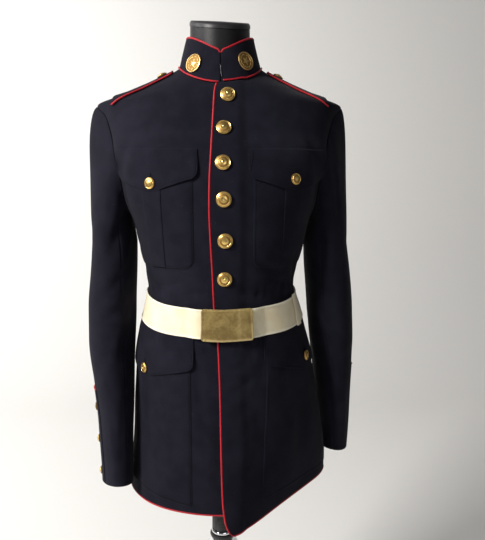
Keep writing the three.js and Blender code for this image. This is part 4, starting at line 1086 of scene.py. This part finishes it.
for name, (side, breastArc, skirtArc, skirtWidth, seatZ, hipZ, corner, foot) in pocketPlaces.items():
    w, b = breast['width'], breast
    bagWidth = w - 2 * b['inset']
    us, vs = spaced(50, bagWidth), spaced(60, b['bagHeight'])
    x = np.minimum(us, 1 - us)[None, :] * bagWidth
    y = vs[:, None] * b['bagHeight']
    near = np.minimum(x, y)
    puff = 1.9 * np.sin(np.pi * us)[None, :] ** 0.7 * np.sin(np.pi * np.clip(vs * 0.8 + 0.12, 0, 1))[:, None]
    low = lambda u, width=bagWidth: b['bottom'] + cornerLift(u, width, 19)
    piece = patch(name + 'BreastPocket', side, us, vs,
                  lambda u, v: (breastArc + b['inset'] + u * bagWidth, mix(low(u), b['top'] - 30, v)),
                  1.25 + puff - 0.7 * (1 - smooth(0, 2.4, near)) + groove(near), 1.0)
    ride(piece, 'wool_cloth', 'breast_pocket_' + name)
    name + 'Front'
    pleatWidth = 2 * b['pleatHalf']
    ps = spaced(14, pleatWidth)
    puffPleat = 1.9 * np.sin(np.pi * np.clip(vs * 0.8 + 0.12, 0, 1))[:, None] + 0 * ps[None, :]
    nearPleat = np.minimum(ps, 1 - ps)[None, :] * pleatWidth
    piece = patch(name + 'BreastPleat', side, ps, vs,
                  lambda u, v: (breastArc + w / 2 + (u * 2 - 1) * b['pleatHalf'],
                                mix(b['bottom'] + 1.2, b['top'] - 30, v)),
                  2.5 + puffPleat - 0.35 * (1 - smooth(0, 2.4, nearPleat)), 1.0)
    ride(piece, 'wool_cloth', 'breast_pleat_' + name)
    name + 'BreastPocket'
    us, vs = spaced(64, w), spaced(26, 58)
    x, y = np.minimum(us, 1 - us)[None, :] * w, vs[:, None] * 60
    near = np.minimum(x, y)
    lift = mix(5.2, 1.8, smooth(0.0, 0.85, vs))[:, None]
    piece = patch(name + 'BreastFlap', side, us, vs,
                  lambda u, v: (breastArc + u * w,
                                mix(flapLow(u, w, b['corner'], b['point'], 11), b['top'] + 4 * u, v)),
                  lift - 0.5 * (1 - smooth(0, 2.2, near)) + groove(near)
                  + 0.5 * np.sin(np.pi * us * 3)[None, :] * (1 - vs[:, None])
                  - 0.9 * (1 - smooth(0, 2.5, (1 - vs)[:, None] * 60)), 1.3)
    ride(piece, 'wool_cloth', 'breast_flap_' + name)
    name + 'BreastPocket'
    name + 'BreastPleat'
    buttonSeats.append(('breast_button_' + name, 'pocket', side, breastArc + w / 2, seatZ, 4.6))

    sw = skirtWidth
    bagSpan = sw - 2 * skirt['inset']
    us, vs = spaced(60, bagSpan), spaced(84, skirt['bagHeight'])
    x, y = np.minimum(us, 1 - us)[None, :] * bagSpan, vs[:, None] * skirt['bagHeight']
    near = np.minimum(x, y)
    sag = 2.6 * np.sin(np.pi * us)[None, :] ** 0.8 * np.sin(np.pi * np.clip(1 - vs, 0, 1) ** 1.3)[:, None]
    piece = patch(name + 'SkirtPocket', side, us, vs,
                  lambda u, v: (skirtArc + skirt['inset'] + u * bagSpan,
                                mix(mix(foot, skirt['farFoot'], u) + cornerLift(u, sw, 8), skirt['top'], v)),
                  1.45 + sag - 0.8 * (1 - smooth(0, 2.4, near)) + groove(near), 1.2)
    ride(piece, 'wool_cloth', 'skirt_pocket_' + name)
    name + 'Front'
    name + 'Back'

    def beltLow(arc):
        angle = np.abs(angleAtArc(side, arc, -435 + 0 * arc))
        return beltZ(angle) - belt['height'] / 2 - 1.2
    us, vs = spaced(74, sw), spaced(28, skirt['flapHeight'])
    x, y = np.minimum(us, 1 - us)[None, :] * sw, vs[:, None] * skirt['flapHeight']
    near = np.minimum(x, y)
    lift = mix(5.4, 2.2, smooth(0.0, 0.8, vs))[:, None]
    piece = patch(name + 'SkirtFlap', side, us, vs,
                  lambda u, v: (skirtArc + u * sw, mix(flapLow(u, sw, corner, corner + skirt['point'], 11),
                                                      beltLow(skirtArc + u * sw), v)),
                  lift - 0.5 * (1 - smooth(0, 2.2, near)) + groove(near)
                  + 0.6 * np.sin(np.pi * us * 3.4 + 1)[None, :] * (1 - vs[:, None]), 1.3)
    ride(piece, 'wool_cloth', 'skirt_flap_' + name)
    name + 'SkirtPocket'
    buttonSeats.append(('skirt_button_' + name, 'pocket', side, skirtArc + sw / 2, hipZ, 5.4))
print('pockets made')


# Cuff slashes.

slash = {'back': -58, 'front': 22, 'width': 72, 'length': 180, 'thick': 1.4, 'buttonTurn': -6}
cuffSeats = []
for name, side in (('left', 1), ('right', -1)):
    first, last = sleeveRows[name][0][0], sleeveRows[name][-1][0]
    step = lambda z: 0.3 + 0.7 * ((z - first) / (last - first))
    top = last + slash['length']
    high = slash['length'] - 2
    us, vs = spaced(30, slash['width']), spaced(60, high)
    near = np.minimum(np.minimum(us, 1 - us)[None, :] * slash['width'], (1 - vs)[:, None] * high)
    turn = mix(slash['back'], slash['front'], us)[None, :] + 0 * vs[:, None]
    t = step(mix(last + 2, top, vs))[:, None] + 0 * us[None, :]
    points, normals = sleeveFrame(name, turn, t, 1.7 - 0.5 * (1 - smooth(0, 2.2, near)) + groove(near))
    piece = makeSheet(name + 'CuffSlash', points, normals, slash['thick'], wool)
    ride(piece, 'wool_cloth', 'cuff_slash_' + name)
    name + 'TopSleeve'
    rise = np.linspace(0, 1, 80)
    c, _ = sleeveFrame(name, mix(slash['front'], slash['back'], np.linspace(0, 1, 50)),
                       np.full(50, step(top + pipe + 0.3)), np.full(50, 1.4))
    a, _ = sleeveFrame(name, slash['back'] - 2.6 + 0 * rise, step(mix(top, last + 2, rise)), 1.4 + 0 * rise)
    ride(makeTube(name + 'CuffPiping', np.concatenate([c, a]), pipe * 0.8, piping), 'red_piping',
         'cuff_piping_' + name)
    for i, k in enumerate((0.12, 0.46, 0.8)):
        p, n = sleeveFrame(name, np.array([float(slash['buttonTurn'])]), np.array([step(mix(last, top, k))]),
                           np.array([1.8]))
        cuffSeats.append((f'cuff_button_{name}_{i + 1}', p[0], n[0]))
print('cuffs made')


# Buttons and discs.

buttonSize = {'front': 12.7, 'pocket': 9.5, 'cuff': 7.5}
holeAside = {'front': 13.5, 'pocket': 12.5}


def starPiece(name, reach, waist, base, high, material):
    bpy.ops.object.select_all(action='DESELECT')
    bpy.ops.mesh.primitive_circle_add(vertices=10, radius=reach * mm, fill_type='TRIFAN',
                                      rotation=(0, 0, math.radians(90)))
    piece = bpy.context.object
    bpy.ops.object.transform_apply(location=True, rotation=True, scale=True)
    mesh = piece.data
    for v in mesh.vertices:
        far = math.hypot(v.co.x, v.co.y)
        if far < 1e-7:
            v.co.z = (base + high) * mm
            continue
        k = round(math.degrees(math.atan2(v.co.y, v.co.x) - math.pi / 2) / 36) % 10
        if k % 2:
            v.co.x, v.co.y = v.co.x * waist, v.co.y * waist
        v.co.z = (base + (0.25 if k % 2 else 0.0) * high) * mm
    bpy.ops.object.mode_set(mode='EDIT')
    bpy.ops.mesh.select_all(action='SELECT')
    bpy.ops.mesh.extrude_region_move(TRANSFORM_OT_translate={'value': (0, 0, -0.8 * mm)})
    bpy.ops.object.mode_set(mode='OBJECT')
    outwards(piece)
    mesh.materials.clear()
    mesh.materials.append(material)
    piece.name = name
    return piece


def ropeRing(radius, thick, lobes, height, material):
    bpy.ops.object.select_all(action='DESELECT')
    bpy.ops.mesh.primitive_torus_add(major_radius=radius * mm, minor_radius=thick * mm,
                                     major_segments=lobes * 5, minor_segments=7)
    piece = bpy.context.object
    for v in piece.data.vertices:
        a = math.atan2(v.co.y, v.co.x)
        swell = 1 + 0.10 * math.cos(a * lobes + v.co.z / (thick * mm) * 1.4) * 1.0
        far = math.hypot(v.co.x, v.co.y)
        newFar = radius * mm + (far - radius * mm) * swell
        v.co.x, v.co.y = v.co.x / far * newFar, v.co.y / far * newFar
        v.co.z = v.co.z * (swell + 0.25 * math.cos(a * lobes)) + height * mm
    piece.data.materials.clear()
    piece.data.materials.append(material)
    return piece


def markRecessShade(piece, rule):             # how deep a point lies in the relief, where the metals are given painted shade
    mark = piece.data.attributes.new('recessShade', 'FLOAT', 'POINT')
    mark.data.foreach_set('value', [float(rule(v.co / mm)) for v in piece.data.vertices])


r = buttonSize['front']
dome = [(0, 0), (0.90 * r, 0), (0.98 * r, 0.06 * r), (r, 0.14 * r), (0.985 * r, 0.20 * r), (0.93 * r, 0.235 * r),
        (0.885 * r, 0.215 * r), (0.86 * r, 0.225 * r), (0.78 * r, 0.290 * r), (0.66 * r, 0.355 * r),
        (0.50 * r, 0.415 * r), (0.33 * r, 0.455 * r), (0.16 * r, 0.476 * r), (0, 0.48 * r)]
cap = turned('cap', dome, 56, gilt)
star = starPiece('star', 0.46 * r, 0.42, 0.40 * r, 0.17 * r, gilt)
rope = ropeRing(0.735 * r, 0.035 * r, 30, 0.315 * r, gilt)
# Painted shade: the groove inside the rim, the sunk field round the star and the underside of the rope are
# marked dark, and the outer rim gets a painted dark reflection.
for part in (cap, star, rope):
    far = lambda p: math.hypot(p.x, p.y) / r
    markRecessShade(part, lambda p: (1 - abs(far(p) - 0.87) / 0.06 if abs(far(p) - 0.87) < 0.06 else 0)
               + (0.95 if part is cap and 0.40 < far(p) < 0.74 else 0)
               + (0.9 if part is cap and far(p) > 0.93 else 0)
               + (0.5 if part is rope and p.z < 0.31 * r else 0))
buttonMaster = joinAll('buttonMaster', [cap, star, rope])
roundEdges(buttonMaster, 32)

frontButtons = [(11, -22, 0.4), (4, -79, 1.2), (2, -136, 0.5), (3, -194, 0.4), (5, -261, 0.4), (4, -327, 0.7)]
holeMarks = []
for i, (x, z, out) in enumerate(frontButtons):
    deg = float(angleAtX(x, z, True))
    p, n = coatFrame(np.array([deg]), np.array([float(z)]), True, 0.35)
    turn = (0.05, -0.12, 0.09, -0.04, 0.14, -0.08)[i]
    seat = seatMatrix(p[0], n[0], (turn, 0, 1))
    ride(copyOf(buttonMaster, f'frontButton{i + 1}', seat), 'gilt_metal', f'front_button_{i + 1}')
    if i:
        aside = float(angleAtX(x + holeAside['front'], z, True))
        hole, hn = coatFrame(np.array([aside]), np.array([float(z)]), True, 0.1)
        holeMarks.append(seatMatrix(hole[0], hn[0]))
for node, kind, side, arc, z, out in buttonSeats:
    deg = float(angleAtArc(side, arc, float(z)))
    p, n = coatFrame(np.array([deg]), np.array([float(z)]), side > 0, out)
    name = node.split('_')[0] + 'Button' + node.split('_')[2].capitalize()
    ride(copyOf(buttonMaster, name, seatMatrix(p[0], n[0], (0.06 * side, 0, 1), buttonSize[kind] / r)),
         'gilt_metal', node)
    hole, hn = coatFrame(np.array([deg]), np.array([float(z) + holeAside['pocket']]), side > 0, out - 0.5)
    holeMarks.append(seatMatrix(hole[0], hn[0]) @ Matrix.Rotation(math.pi / 2, 4, 'Z'))
for node, p, n in cuffSeats:
    parts = node.split('_')
    seat = seatMatrix(p, n, size=buttonSize['cuff'] / r)
    ride(copyOf(buttonMaster, parts[2] + 'CuffButton' + parts[3], seat), 'gilt_metal', node)
for name, (p, n) in strapSeats.items():
    ride(copyOf(buttonMaster, name + 'StrapButton', seatMatrix(p, n, (0, 1, 0.2), buttonSize['pocket'] / r)),
         'gilt_metal', 'strap_button_' + name)
bpy.data.objects.remove(buttonMaster)
print('buttons made')

discProfile = [(0, 0), (15.2, 0), (16, 0.5), (16, 1.5), (15.5, 2.1), (14.6, 2.3), (13.9, 2.0), (13.4, 1.5),
               (12.0, 1.35), (8, 1.6), (4, 1.8), (0, 1.9)]
disc = turned('disc', discProfile, 64, bronze)
discStar = starPiece('discStar', 8.2, 0.42, 1.75, 1.5, bronze)
leaves = []
bpy.ops.object.select_all(action='DESELECT')
bpy.ops.mesh.primitive_uv_sphere_add(segments=8, ring_count=6, radius=1.0 * mm)
leaf = bpy.context.object
for v in leaf.data.vertices:             # a pointed leaf
    v.co.x *= 0.85 * (1 - 0.35 * v.co.y / mm)
    v.co.y *= 2.3
    v.co.z *= 0.75
for k in range(22):
    a = math.radians(-160 + k * 320 / 21 + 90 + 180)
    lean = 28 if k % 2 else -28
    m = Matrix.Translation((11.0 * mm * math.cos(a), 11.0 * mm * math.sin(a), 1.6 * mm)) \
        @ Matrix.Rotation(a + math.radians(lean + (0 if k < 11 else 180)), 4, 'Z')
    leaves.append(m)
wreath = scatter('wreath', leaf, leaves, bronze)
bpy.data.objects.remove(leaf)
# Painted shade: the sunk field inside the disc's raised rim is marked dark.
for part in (disc, discStar, wreath):
    markRecessShade(part, lambda p: (0.9 if part is disc and math.hypot(p.x, p.y) < 13.6 and p.z < 2.1 else 0))
discMaster = joinAll('discMaster', [disc, discStar, wreath])
roundEdges(discMaster, 32)
for name, turn, v, out in (('right', 324.5, 0.37, 0.5), ('left', 33, 0.46, 0.4)):
    p, n = collarFrame(np.array([float(turn)]), np.array([v]), np.array([out]))
    ride(copyOf(discMaster, name + 'CollarDisc', seatMatrix(p[0], n[0])), 'gilt_metal', 'collar_disc_' + name)
bpy.data.objects.remove(discMaster)
print('collar discs made')


# Sewing: buttonholes and edge stitches.

bpy.ops.object.select_all(action='DESELECT')
bpy.ops.mesh.primitive_cylinder_add(vertices=6, radius=0.42 * mm, depth=2.3 * mm,
                                    rotation=(0, math.radians(90), 0))
stitch = bpy.context.object
bpy.ops.object.transform_apply(location=True, rotation=True, scale=True)
bars = []
for m in holeMarks:
    for k in range(7):
        along = Matrix.Translation(((k - 3) * 1.15 * mm, 0, 0.15 * mm))
        bars.append(m @ along @ Matrix.Rotation(math.pi / 2, 4, 'Z'))
holes = scatter('buttonholeStitches', stitch, bars, thread)
ride(holes, 'wool_cloth')


def stitchesAlong(points, normals, pitch=3.4):
    step = np.concatenate([[0], np.cumsum(np.linalg.norm(np.diff(points, axis=0), axis=-1))])
    made = []
    for d in np.arange(pitch / 2, step[-1], pitch):
        p = np.array([np.interp(d, step, points[:, c]) for c in range(3)])
        q = np.array([np.interp(min(d + 0.5, step[-1]), step, points[:, c]) for c in range(3)])
        n = np.array([np.interp(d, step, normals[:, c]) for c in range(3)])
        if np.linalg.norm(q - p) < 1e-6:
            continue
        x = Vector(q - p).normalized()
        z = Vector(n).normalized()
        y = z.cross(x).normalized()
        m = Matrix((x, y, z)).transposed().to_4x4()
        m.translation = (Vector(p) + Vector((0, 0, neckHeight))) * mm
        made.append(m)
    return made


rows = []
for name, (side, breastArc, skirtArc, skirtWidth, seatZ, hipZ, corner, foot) in pocketPlaces.items():
    w, b = breast['width'], breast
    u = np.linspace(0.0, 1.0, 120)

    def outline(arc, width, low, topZ, out):
        us = mix(stitchInset / width, 1 - stitchInset / width, u)
        lowZ = low(us) + stitchInset
        leftZ = np.linspace(topZ, lowZ[0], 40)
        rightZ = np.linspace(lowZ[-1], topZ, 40)
        left, right = np.full(40, arc + stitchInset), np.full(40, arc + width - stitchInset)
        arcs = np.concatenate([left, arc + us * width, right])
        zs = np.concatenate([leftZ, lowZ, rightZ])
        return coatFrame(angleAtArc(side, arcs, zs), zs, side > 0, out)
    bagW = w - 2 * b['inset']
    rows += stitchesAlong(*outline(breastArc + b['inset'], bagW,
                                   lambda s: b['bottom'] + cornerLift(s, bagW, 19), b['top'] - 40, 1.55))
    rows += stitchesAlong(*outline(breastArc, w, lambda s: flapLow(s, w, b['corner'], b['point'], 11),
                                   b['top'] - 4, 4.6))
    sw = skirtWidth
    rows += stitchesAlong(*outline(skirtArc + skirt['inset'], sw - 2 * skirt['inset'],
                                   lambda s: mix(foot, skirt['farFoot'], s) + cornerLift(s, sw, 8),
                                   skirt['top'] - 30, 1.75))
    rows += stitchesAlong(*outline(skirtArc, sw,
                                   lambda s: flapLow(s, sw, corner, corner + skirt['point'], 11),
                                   corner + 30, 4.8))
edging = scatter('edgeStitches', stitch, rows, thread)
ride(edging, 'wool_cloth')
bpy.data.objects.remove(stitch)
print('sewing made', len(rows))

# The hook between the collar's ends.
p, n = collarFrame(np.array([359.0]), np.array([0.55]))
q, _ = collarFrame(np.array([1.0]), np.array([0.18]))
hookPath = [p[0] + n[0] * 0.6, p[0] + n[0] * 1.3 + np.array([1.2, 0, -1.5]), mix(p[0], q[0], 0.5) + n[0] * 1.4,
            q[0] + n[0] * 1.2, q[0] + n[0] * 0.5 + np.array([0.6, 0, 0.8])]
t = np.linspace(0, 1, 24)
smoothPath = np.stack([np.interp(t, np.linspace(0, 1, 5), [h[c] for h in hookPath]) for c in range(3)], -1)
ride(makeTube('collarHook', smoothPath, 0.55, steel, sides=8), 'gilt_metal')


# Belt, plate and keeper.

plate = {'left': -34, 'right': 49, 'around': 84, 'height': 55, 'thick': 2.6}


def beltFrame(deg, v, extra=0.0):
    deg, v = np.broadcast_arrays(np.asarray(deg, float), np.asarray(v, float))
    a = np.where(deg > 180, deg - 360, deg)
    mid = beltZ(np.abs(a))
    z = mid + (v - 0.5) * belt['height']
    _, n = coatFrame(a, mid, False, 0.0, False)
    p, _ = coatFrame(a, z, False, 0.0, False)
    flat = unit(n * np.array([1, 1, 0]))
    lift = belt['lift'] + belt['thick'] + belt['overLap'] * smooth(-27, -17, a) * (1 - smooth(22, 32, a))
    return p + flat * (lift + extra)[..., None], flat


vs = spaced(14, belt['height'], (1.0, 2.2, 3.4, 4.6))
us = np.linspace(0, 1, 421)
y = np.minimum(vs, 1 - vs)[:, None] * belt['height']
selvedge = 0.55 * np.exp(-((y - 1.9) / 1.1) ** 2) - 0.35 * np.exp(-((y - 4.4) / 1.0) ** 2)
wave = 0.35 * np.sin(us * 2 * np.pi * 9 + 0.6) * np.sin(us * 2 * np.pi * 4)
points, normals = beltFrame(360 * us[None, :] + 0 * vs[:, None], vs[:, None] + 0 * us[None, :],
                            selvedge + wave[None, :] * (vs[:, None] - 0.2))
points[:, -1], normals[:, -1] = points[:, 0], normals[:, 0]
# Painted highlight along the crest of each selvedge ridge.
piece = makeSheet('waistBelt', points, normals, belt['thick'], web, wrap=True,
                  paintedHighlight=np.exp(-((y - 1.9) / 1.3) ** 2) + 0 * points[..., 0])
ride(piece, 'belt_web', 'belt')

fineMarks = (0.9, 1.8, 2.7, 3.6, 4.6)
us, vs = spaced(44, plate['around'], fineMarks), spaced(30, plate['height'], fineMarks)
degs = np.array([float(angleAtX(mix(plate['left'], plate['right'], u), -406)) for u in us])
x = np.minimum(us, 1 - us)[None, :] * plate['around']
y = np.minimum(vs, 1 - vs)[:, None] * plate['height']
near = np.minimum(x, y)
rimLift = 0.7 * (1 - smooth(2.2, 3.4, near))
up = 0.5 + (vs - 0.5) * (plate['height'] / belt['height'])
points, normals = beltFrame(degs[None, :] + 0 * vs[:, None], up[:, None] + 0 * us[None, :],
                            2.0 + plate['thick'] + rimLift + 0.4 * np.sin(np.pi * us)[None, :])
round4 = np.maximum(0, 4 - x) * np.maximum(0, 4 - y) / 16        # softened corners
centre = points.mean((0, 1))
points = points + (centre - points) * (round4 * 0.045)[..., None]
# Painted highlight on the rim, strongest along the bottom and left out along the left edge, and a painted
# vertical reflection band right of the centre.
rimHighlight = (1 - smooth(1.6, 3.4, near)) * np.where(vs[:, None] < 0.5, 1.0, 0.45)
rimHighlight = rimHighlight * (1 - 0.9 * (us[None, :] < 0.1))
paintedReflection = 0.55 * np.exp(-((us - 0.74) / 0.035) ** 2)[None, :] * (0.4 + 0.6 * vs[:, None])
piece = makeSheet('buckle', points, normals, plate['thick'], plateBrass, paintedHighlight=np.clip(rimHighlight + paintedReflection, 0, 1))
ride(piece, 'brass_plate', 'buckle_plate')

us, vs = spaced(10, 17, (0.8, 1.7)), spaced(22, 55, (0.9, 1.8, 2.7))
bulge = 1.1 * np.sin(np.pi * us)[None, :] ** 0.6 + 0 * vs[:, None]
points, normals = beltFrame(mix(59.5, 66, us)[None, :] + 0 * vs[:, None], mix(-0.03, 1.09, vs)[:, None]
                            + 0 * us[None, :], 0.5 + 1.5 + bulge)
# The keeper is painted a steady share paler all over, a painted highlight.
piece = makeSheet('beltKeeper', points, normals, 1.5, web, paintedHighlight=0.35 + 0 * points[..., 0])
ride(piece, 'belt_web', 'belt_keeper')
print('belt made')


# The dress form and its stand.

formRows = [             # height, half width, front depth, back depth, squareness, ridge
    [-680, 148, 112, 110, 2.1, 0], [-640, 153, 116, 118, 2.1, 0], [-560, 155, 121, 119, 2.1, 0],
    [-500, 152, 124, 110, 2.15, 0], [-440, 145, 124, 97, 2.2, 0], [-400, 135, 123, 87, 2.25, 0],
    [-360, 129, 124, 83, 2.3, 0], [-325, 132, 128, 83, 2.3, 0], [-280, 144, 137, 89, 2.35, 0],
    [-240, 153, 143, 95, 2.4, 0], [-193, 165, 147, 100, 2.4, 0], [-133, 177, 137, 104, 2.4, 0],
    [-75, 188, 108, 99, 2.3, -0.35], [-45, 195, 98, 93, 2.1, -0.5], [-31, 199, 94, 88, 2.05, -0.55],
    [-20, 194, 90, 84, 2, -0.6], [-3, 161.8, 85, 79, 2, -0.65], [8, 131.5, 76, 72, 2, -0.65],
    [17, 108, 69, 66, 2, -0.6], [27, 82, 64, 56, 2, -0.3], [36, 67, 64, 50, 2, 0], [44, 59, 65, 44, 2, 0],
    [60, 55, 66, 41, 2, 0], [117, 54, 66, 40, 2, 0], [122, 51.5, 63.5, 37.5, 2, 0],
]
neckCut = {'above': 60, 'back': 0.3, 'left': -0.035, 'centre': -10}
formAt = [column(formRows, k) for k in range(1, 6)]


def formPoints(zs, count=96, grow=0.0):
    a = np.linspace(0, 2 * math.pi, count + 1)[None, :]
    z = np.asarray(zs, float)[:, None]
    wide, front, back, across, ridge = [f(z) for f in formAt]
    deep = np.where(np.cos(a) >= 0, front, back)
    r = roundedRadius(np.abs(np.sin(a)), np.abs(np.cos(a)), wide + grow + 0 * a, deep + grow,
                      across + 0 * a, across + ridge + 0 * a)
    x, y = r * np.sin(a), -r * np.cos(a)
    slant = smooth(neckCut['above'], 112, z)
    lifted = z + slant * (neckCut['back'] * (y - neckCut['centre']) + neckCut['left'] * x)
    return np.stack([x, y, lifted], -1)


zs = np.concatenate([np.linspace(-680, 40, 120), np.linspace(44, 113, 22)])
points = formPoints(zs)
under = [mix(points[0], points[0].mean(0) + np.array([0, 0, -4.0]), t) for t in (0.999, 0.9, 0.6, 0.3, 0.08)]
top = [mix(points[-1], points[-1].mean(0) + np.array([0, 0, 2.0]), t) for t in (0.3, 0.7, 0.999)]
points = np.concatenate([np.array(under), points, np.array(top)])
form = makeGrid('form', points, jersey, wrap=True)
mergeDoubles(form, 0.4)
outwards(form)
roundEdges(form, 50)
ride(form, 'form_jersey', 'form_torso')

capZ = [111.5, 112, 114, 117.5, 120.4, 121.8]
points = formPoints(capZ, 96, 1.2)
points[0] = mix(points[0], points[0].mean(0), 0.04)
points[-1] = mix(points[-1], points[-1].mean(0), 0.02)
middle = points[-1].mean(0) + np.array([0, 0, 1.2])
lid = [mix(points[-1], middle, t) for t in (0.05, 0.12, 0.4, 0.75, 0.9999)]
points = np.concatenate([points, np.array(lid)])
neckCap = makeGrid('formNeckCap', points, capCloth, wrap=True)
outwards(neckCap)
applyModifier(neckCap, 'SOLIDIFY', thickness=1.0 * mm, offset=-1)
roundEdges(neckCap, 50)
ride(neckCap, 'form_jersey')

ribs = []
for k in range(9):
    h = -866 + k * 3.4
    ribs += [(21, h), (21.6, h + 0.6), (21.6, h + 1.9), (21, h + 2.5)]
sleeveProfile = [(0, -895), (18, -895), (20.5, -892.5), (22, -889), (24.6, -884.5), (26, -881), (25.6, -878.4),
                 (25, -877), (14, -876), (14, -868), (20.2, -867.6)] + ribs + \
                [(21, -834), (21, -690), (20.2, -680.5), (0, -680.5)]
ride(turned('standSleeve', sleeveProfile, 72, blackPlastic, neckHeight), 'black_plastic', 'stand_sleeve')
ringProfile = [(14.5, -875.4), (22, -875.4), (23.2, -873.8), (23.5, -872), (23.2, -870.2), (22, -868.6),
               (14.5, -868.6), (14.5, -875.4)]
ride(turned('standRing', ringProfile, 72, chrome, neckHeight), 'chrome', 'stand_ring')
poleProfile = [(0, -1350), (12.7, -1350), (12.7, -922), (14.2, -918.5), (18, -916), (27, -914), (33, -912.6),
               (34.2, -910.4), (34, -907), (32.4, -903.6), (29, -899.4), (24, -896.8), (21, -895.6),
               (0, -895.6)]
ride(turned('standPole', poleProfile, 72, chrome, neckHeight), 'chrome', 'stand_pole')
baseProfile = [(0, -1375), (188.5, -1375), (190, -1373.6), (190, -1371), (188.6, -1368.6), (185, -1366.4),
               (150, -1363.6), (110, -1361.6), (70, -1360), (45, -1359.2), (30, -1357.6),
               (26, -1355.5), (24.4, -1352.4), (24, -1350.6), (0, -1350.6)]
ride(turned('standBase', baseProfile, 128, basePaint, neckHeight), 'base_paint', 'stand_base')
print('form and stand made')


# Floor, backdrop and light.

studio = {'floor': 14.0, 'wallY': 3.0, 'curve': 1.1, 'wall': 5.0}
bpy.ops.object.select_all(action='DESELECT')
profile = [(-studio['floor'], 0.0), (-4, 0.0), (0, 0.0), (studio['wallY'] - studio['curve'], 0.0)]
for k in range(1, 13):
    a = k / 12 * math.pi / 2
    wallY = studio['wallY'] - studio['curve'] * (1 - math.sin(a))
    profile.append((wallY, studio['curve'] * (1 - math.cos(a))))
profile.append((studio['wallY'], studio['wall']))
bpy.ops.mesh.primitive_grid_add(x_subdivisions=8, y_subdivisions=len(profile) - 1, size=2)
floor = bpy.context.object
floor.name = 'backdrop'
for v in floor.data.vertices:
    k = round((v.co.y + 1) / 2 * (len(profile) - 1))
    v.co = (v.co.x * 9, *profile[k])
roundEdges(floor, 60)
paper = bpy.data.materials.new('backdropPaper')
paper.use_nodes = True
paper.node_tree.nodes['Principled BSDF'].inputs['Base Color'].default_value = (0.74, 0.725, 0.70, 1)
paper.node_tree.nodes['Principled BSDF'].inputs['Roughness'].default_value = 0.9
floor.data.materials.append(paper)


def softbox(name, place, target, wide, tall, power, colour=(1, 1, 1)):
    bpy.ops.object.light_add(type='AREA', location=place)
    lamp = bpy.context.object
    lamp.name = name
    lamp.data.shape = 'RECTANGLE'
    lamp.data.size, lamp.data.size_y = wide, tall
    lamp.data.energy = power
    lamp.data.color = colour
    lamp.rotation_euler = (Vector(target) - Vector(place)).to_track_quat('-Z', 'Y').to_euler()


softbox('keyLight', (-2.3, -1.7, 2.7), (0.0, 0.0, 1.1), 0.8, 0.8, 165, (1.0, 0.985, 0.96))
softbox('fillLight', (1.0, -3.0, 1.9), (0.0, 0.0, 1.05), 1.4, 1.4, 9)
softbox('wallLight', (-2.6, 0.6, 2.4), (-1.0, 3.0, 1.2), 1.8, 1.8, 80)
world = bpy.data.worlds.new('studioAir')
world.use_nodes = True
world.node_tree.nodes['Background'].inputs['Color'].default_value = (0.93, 0.95, 1.0, 1)
world.node_tree.nodes['Background'].inputs['Strength'].default_value = 0.13
bpy.context.scene.world = world
print('light set')
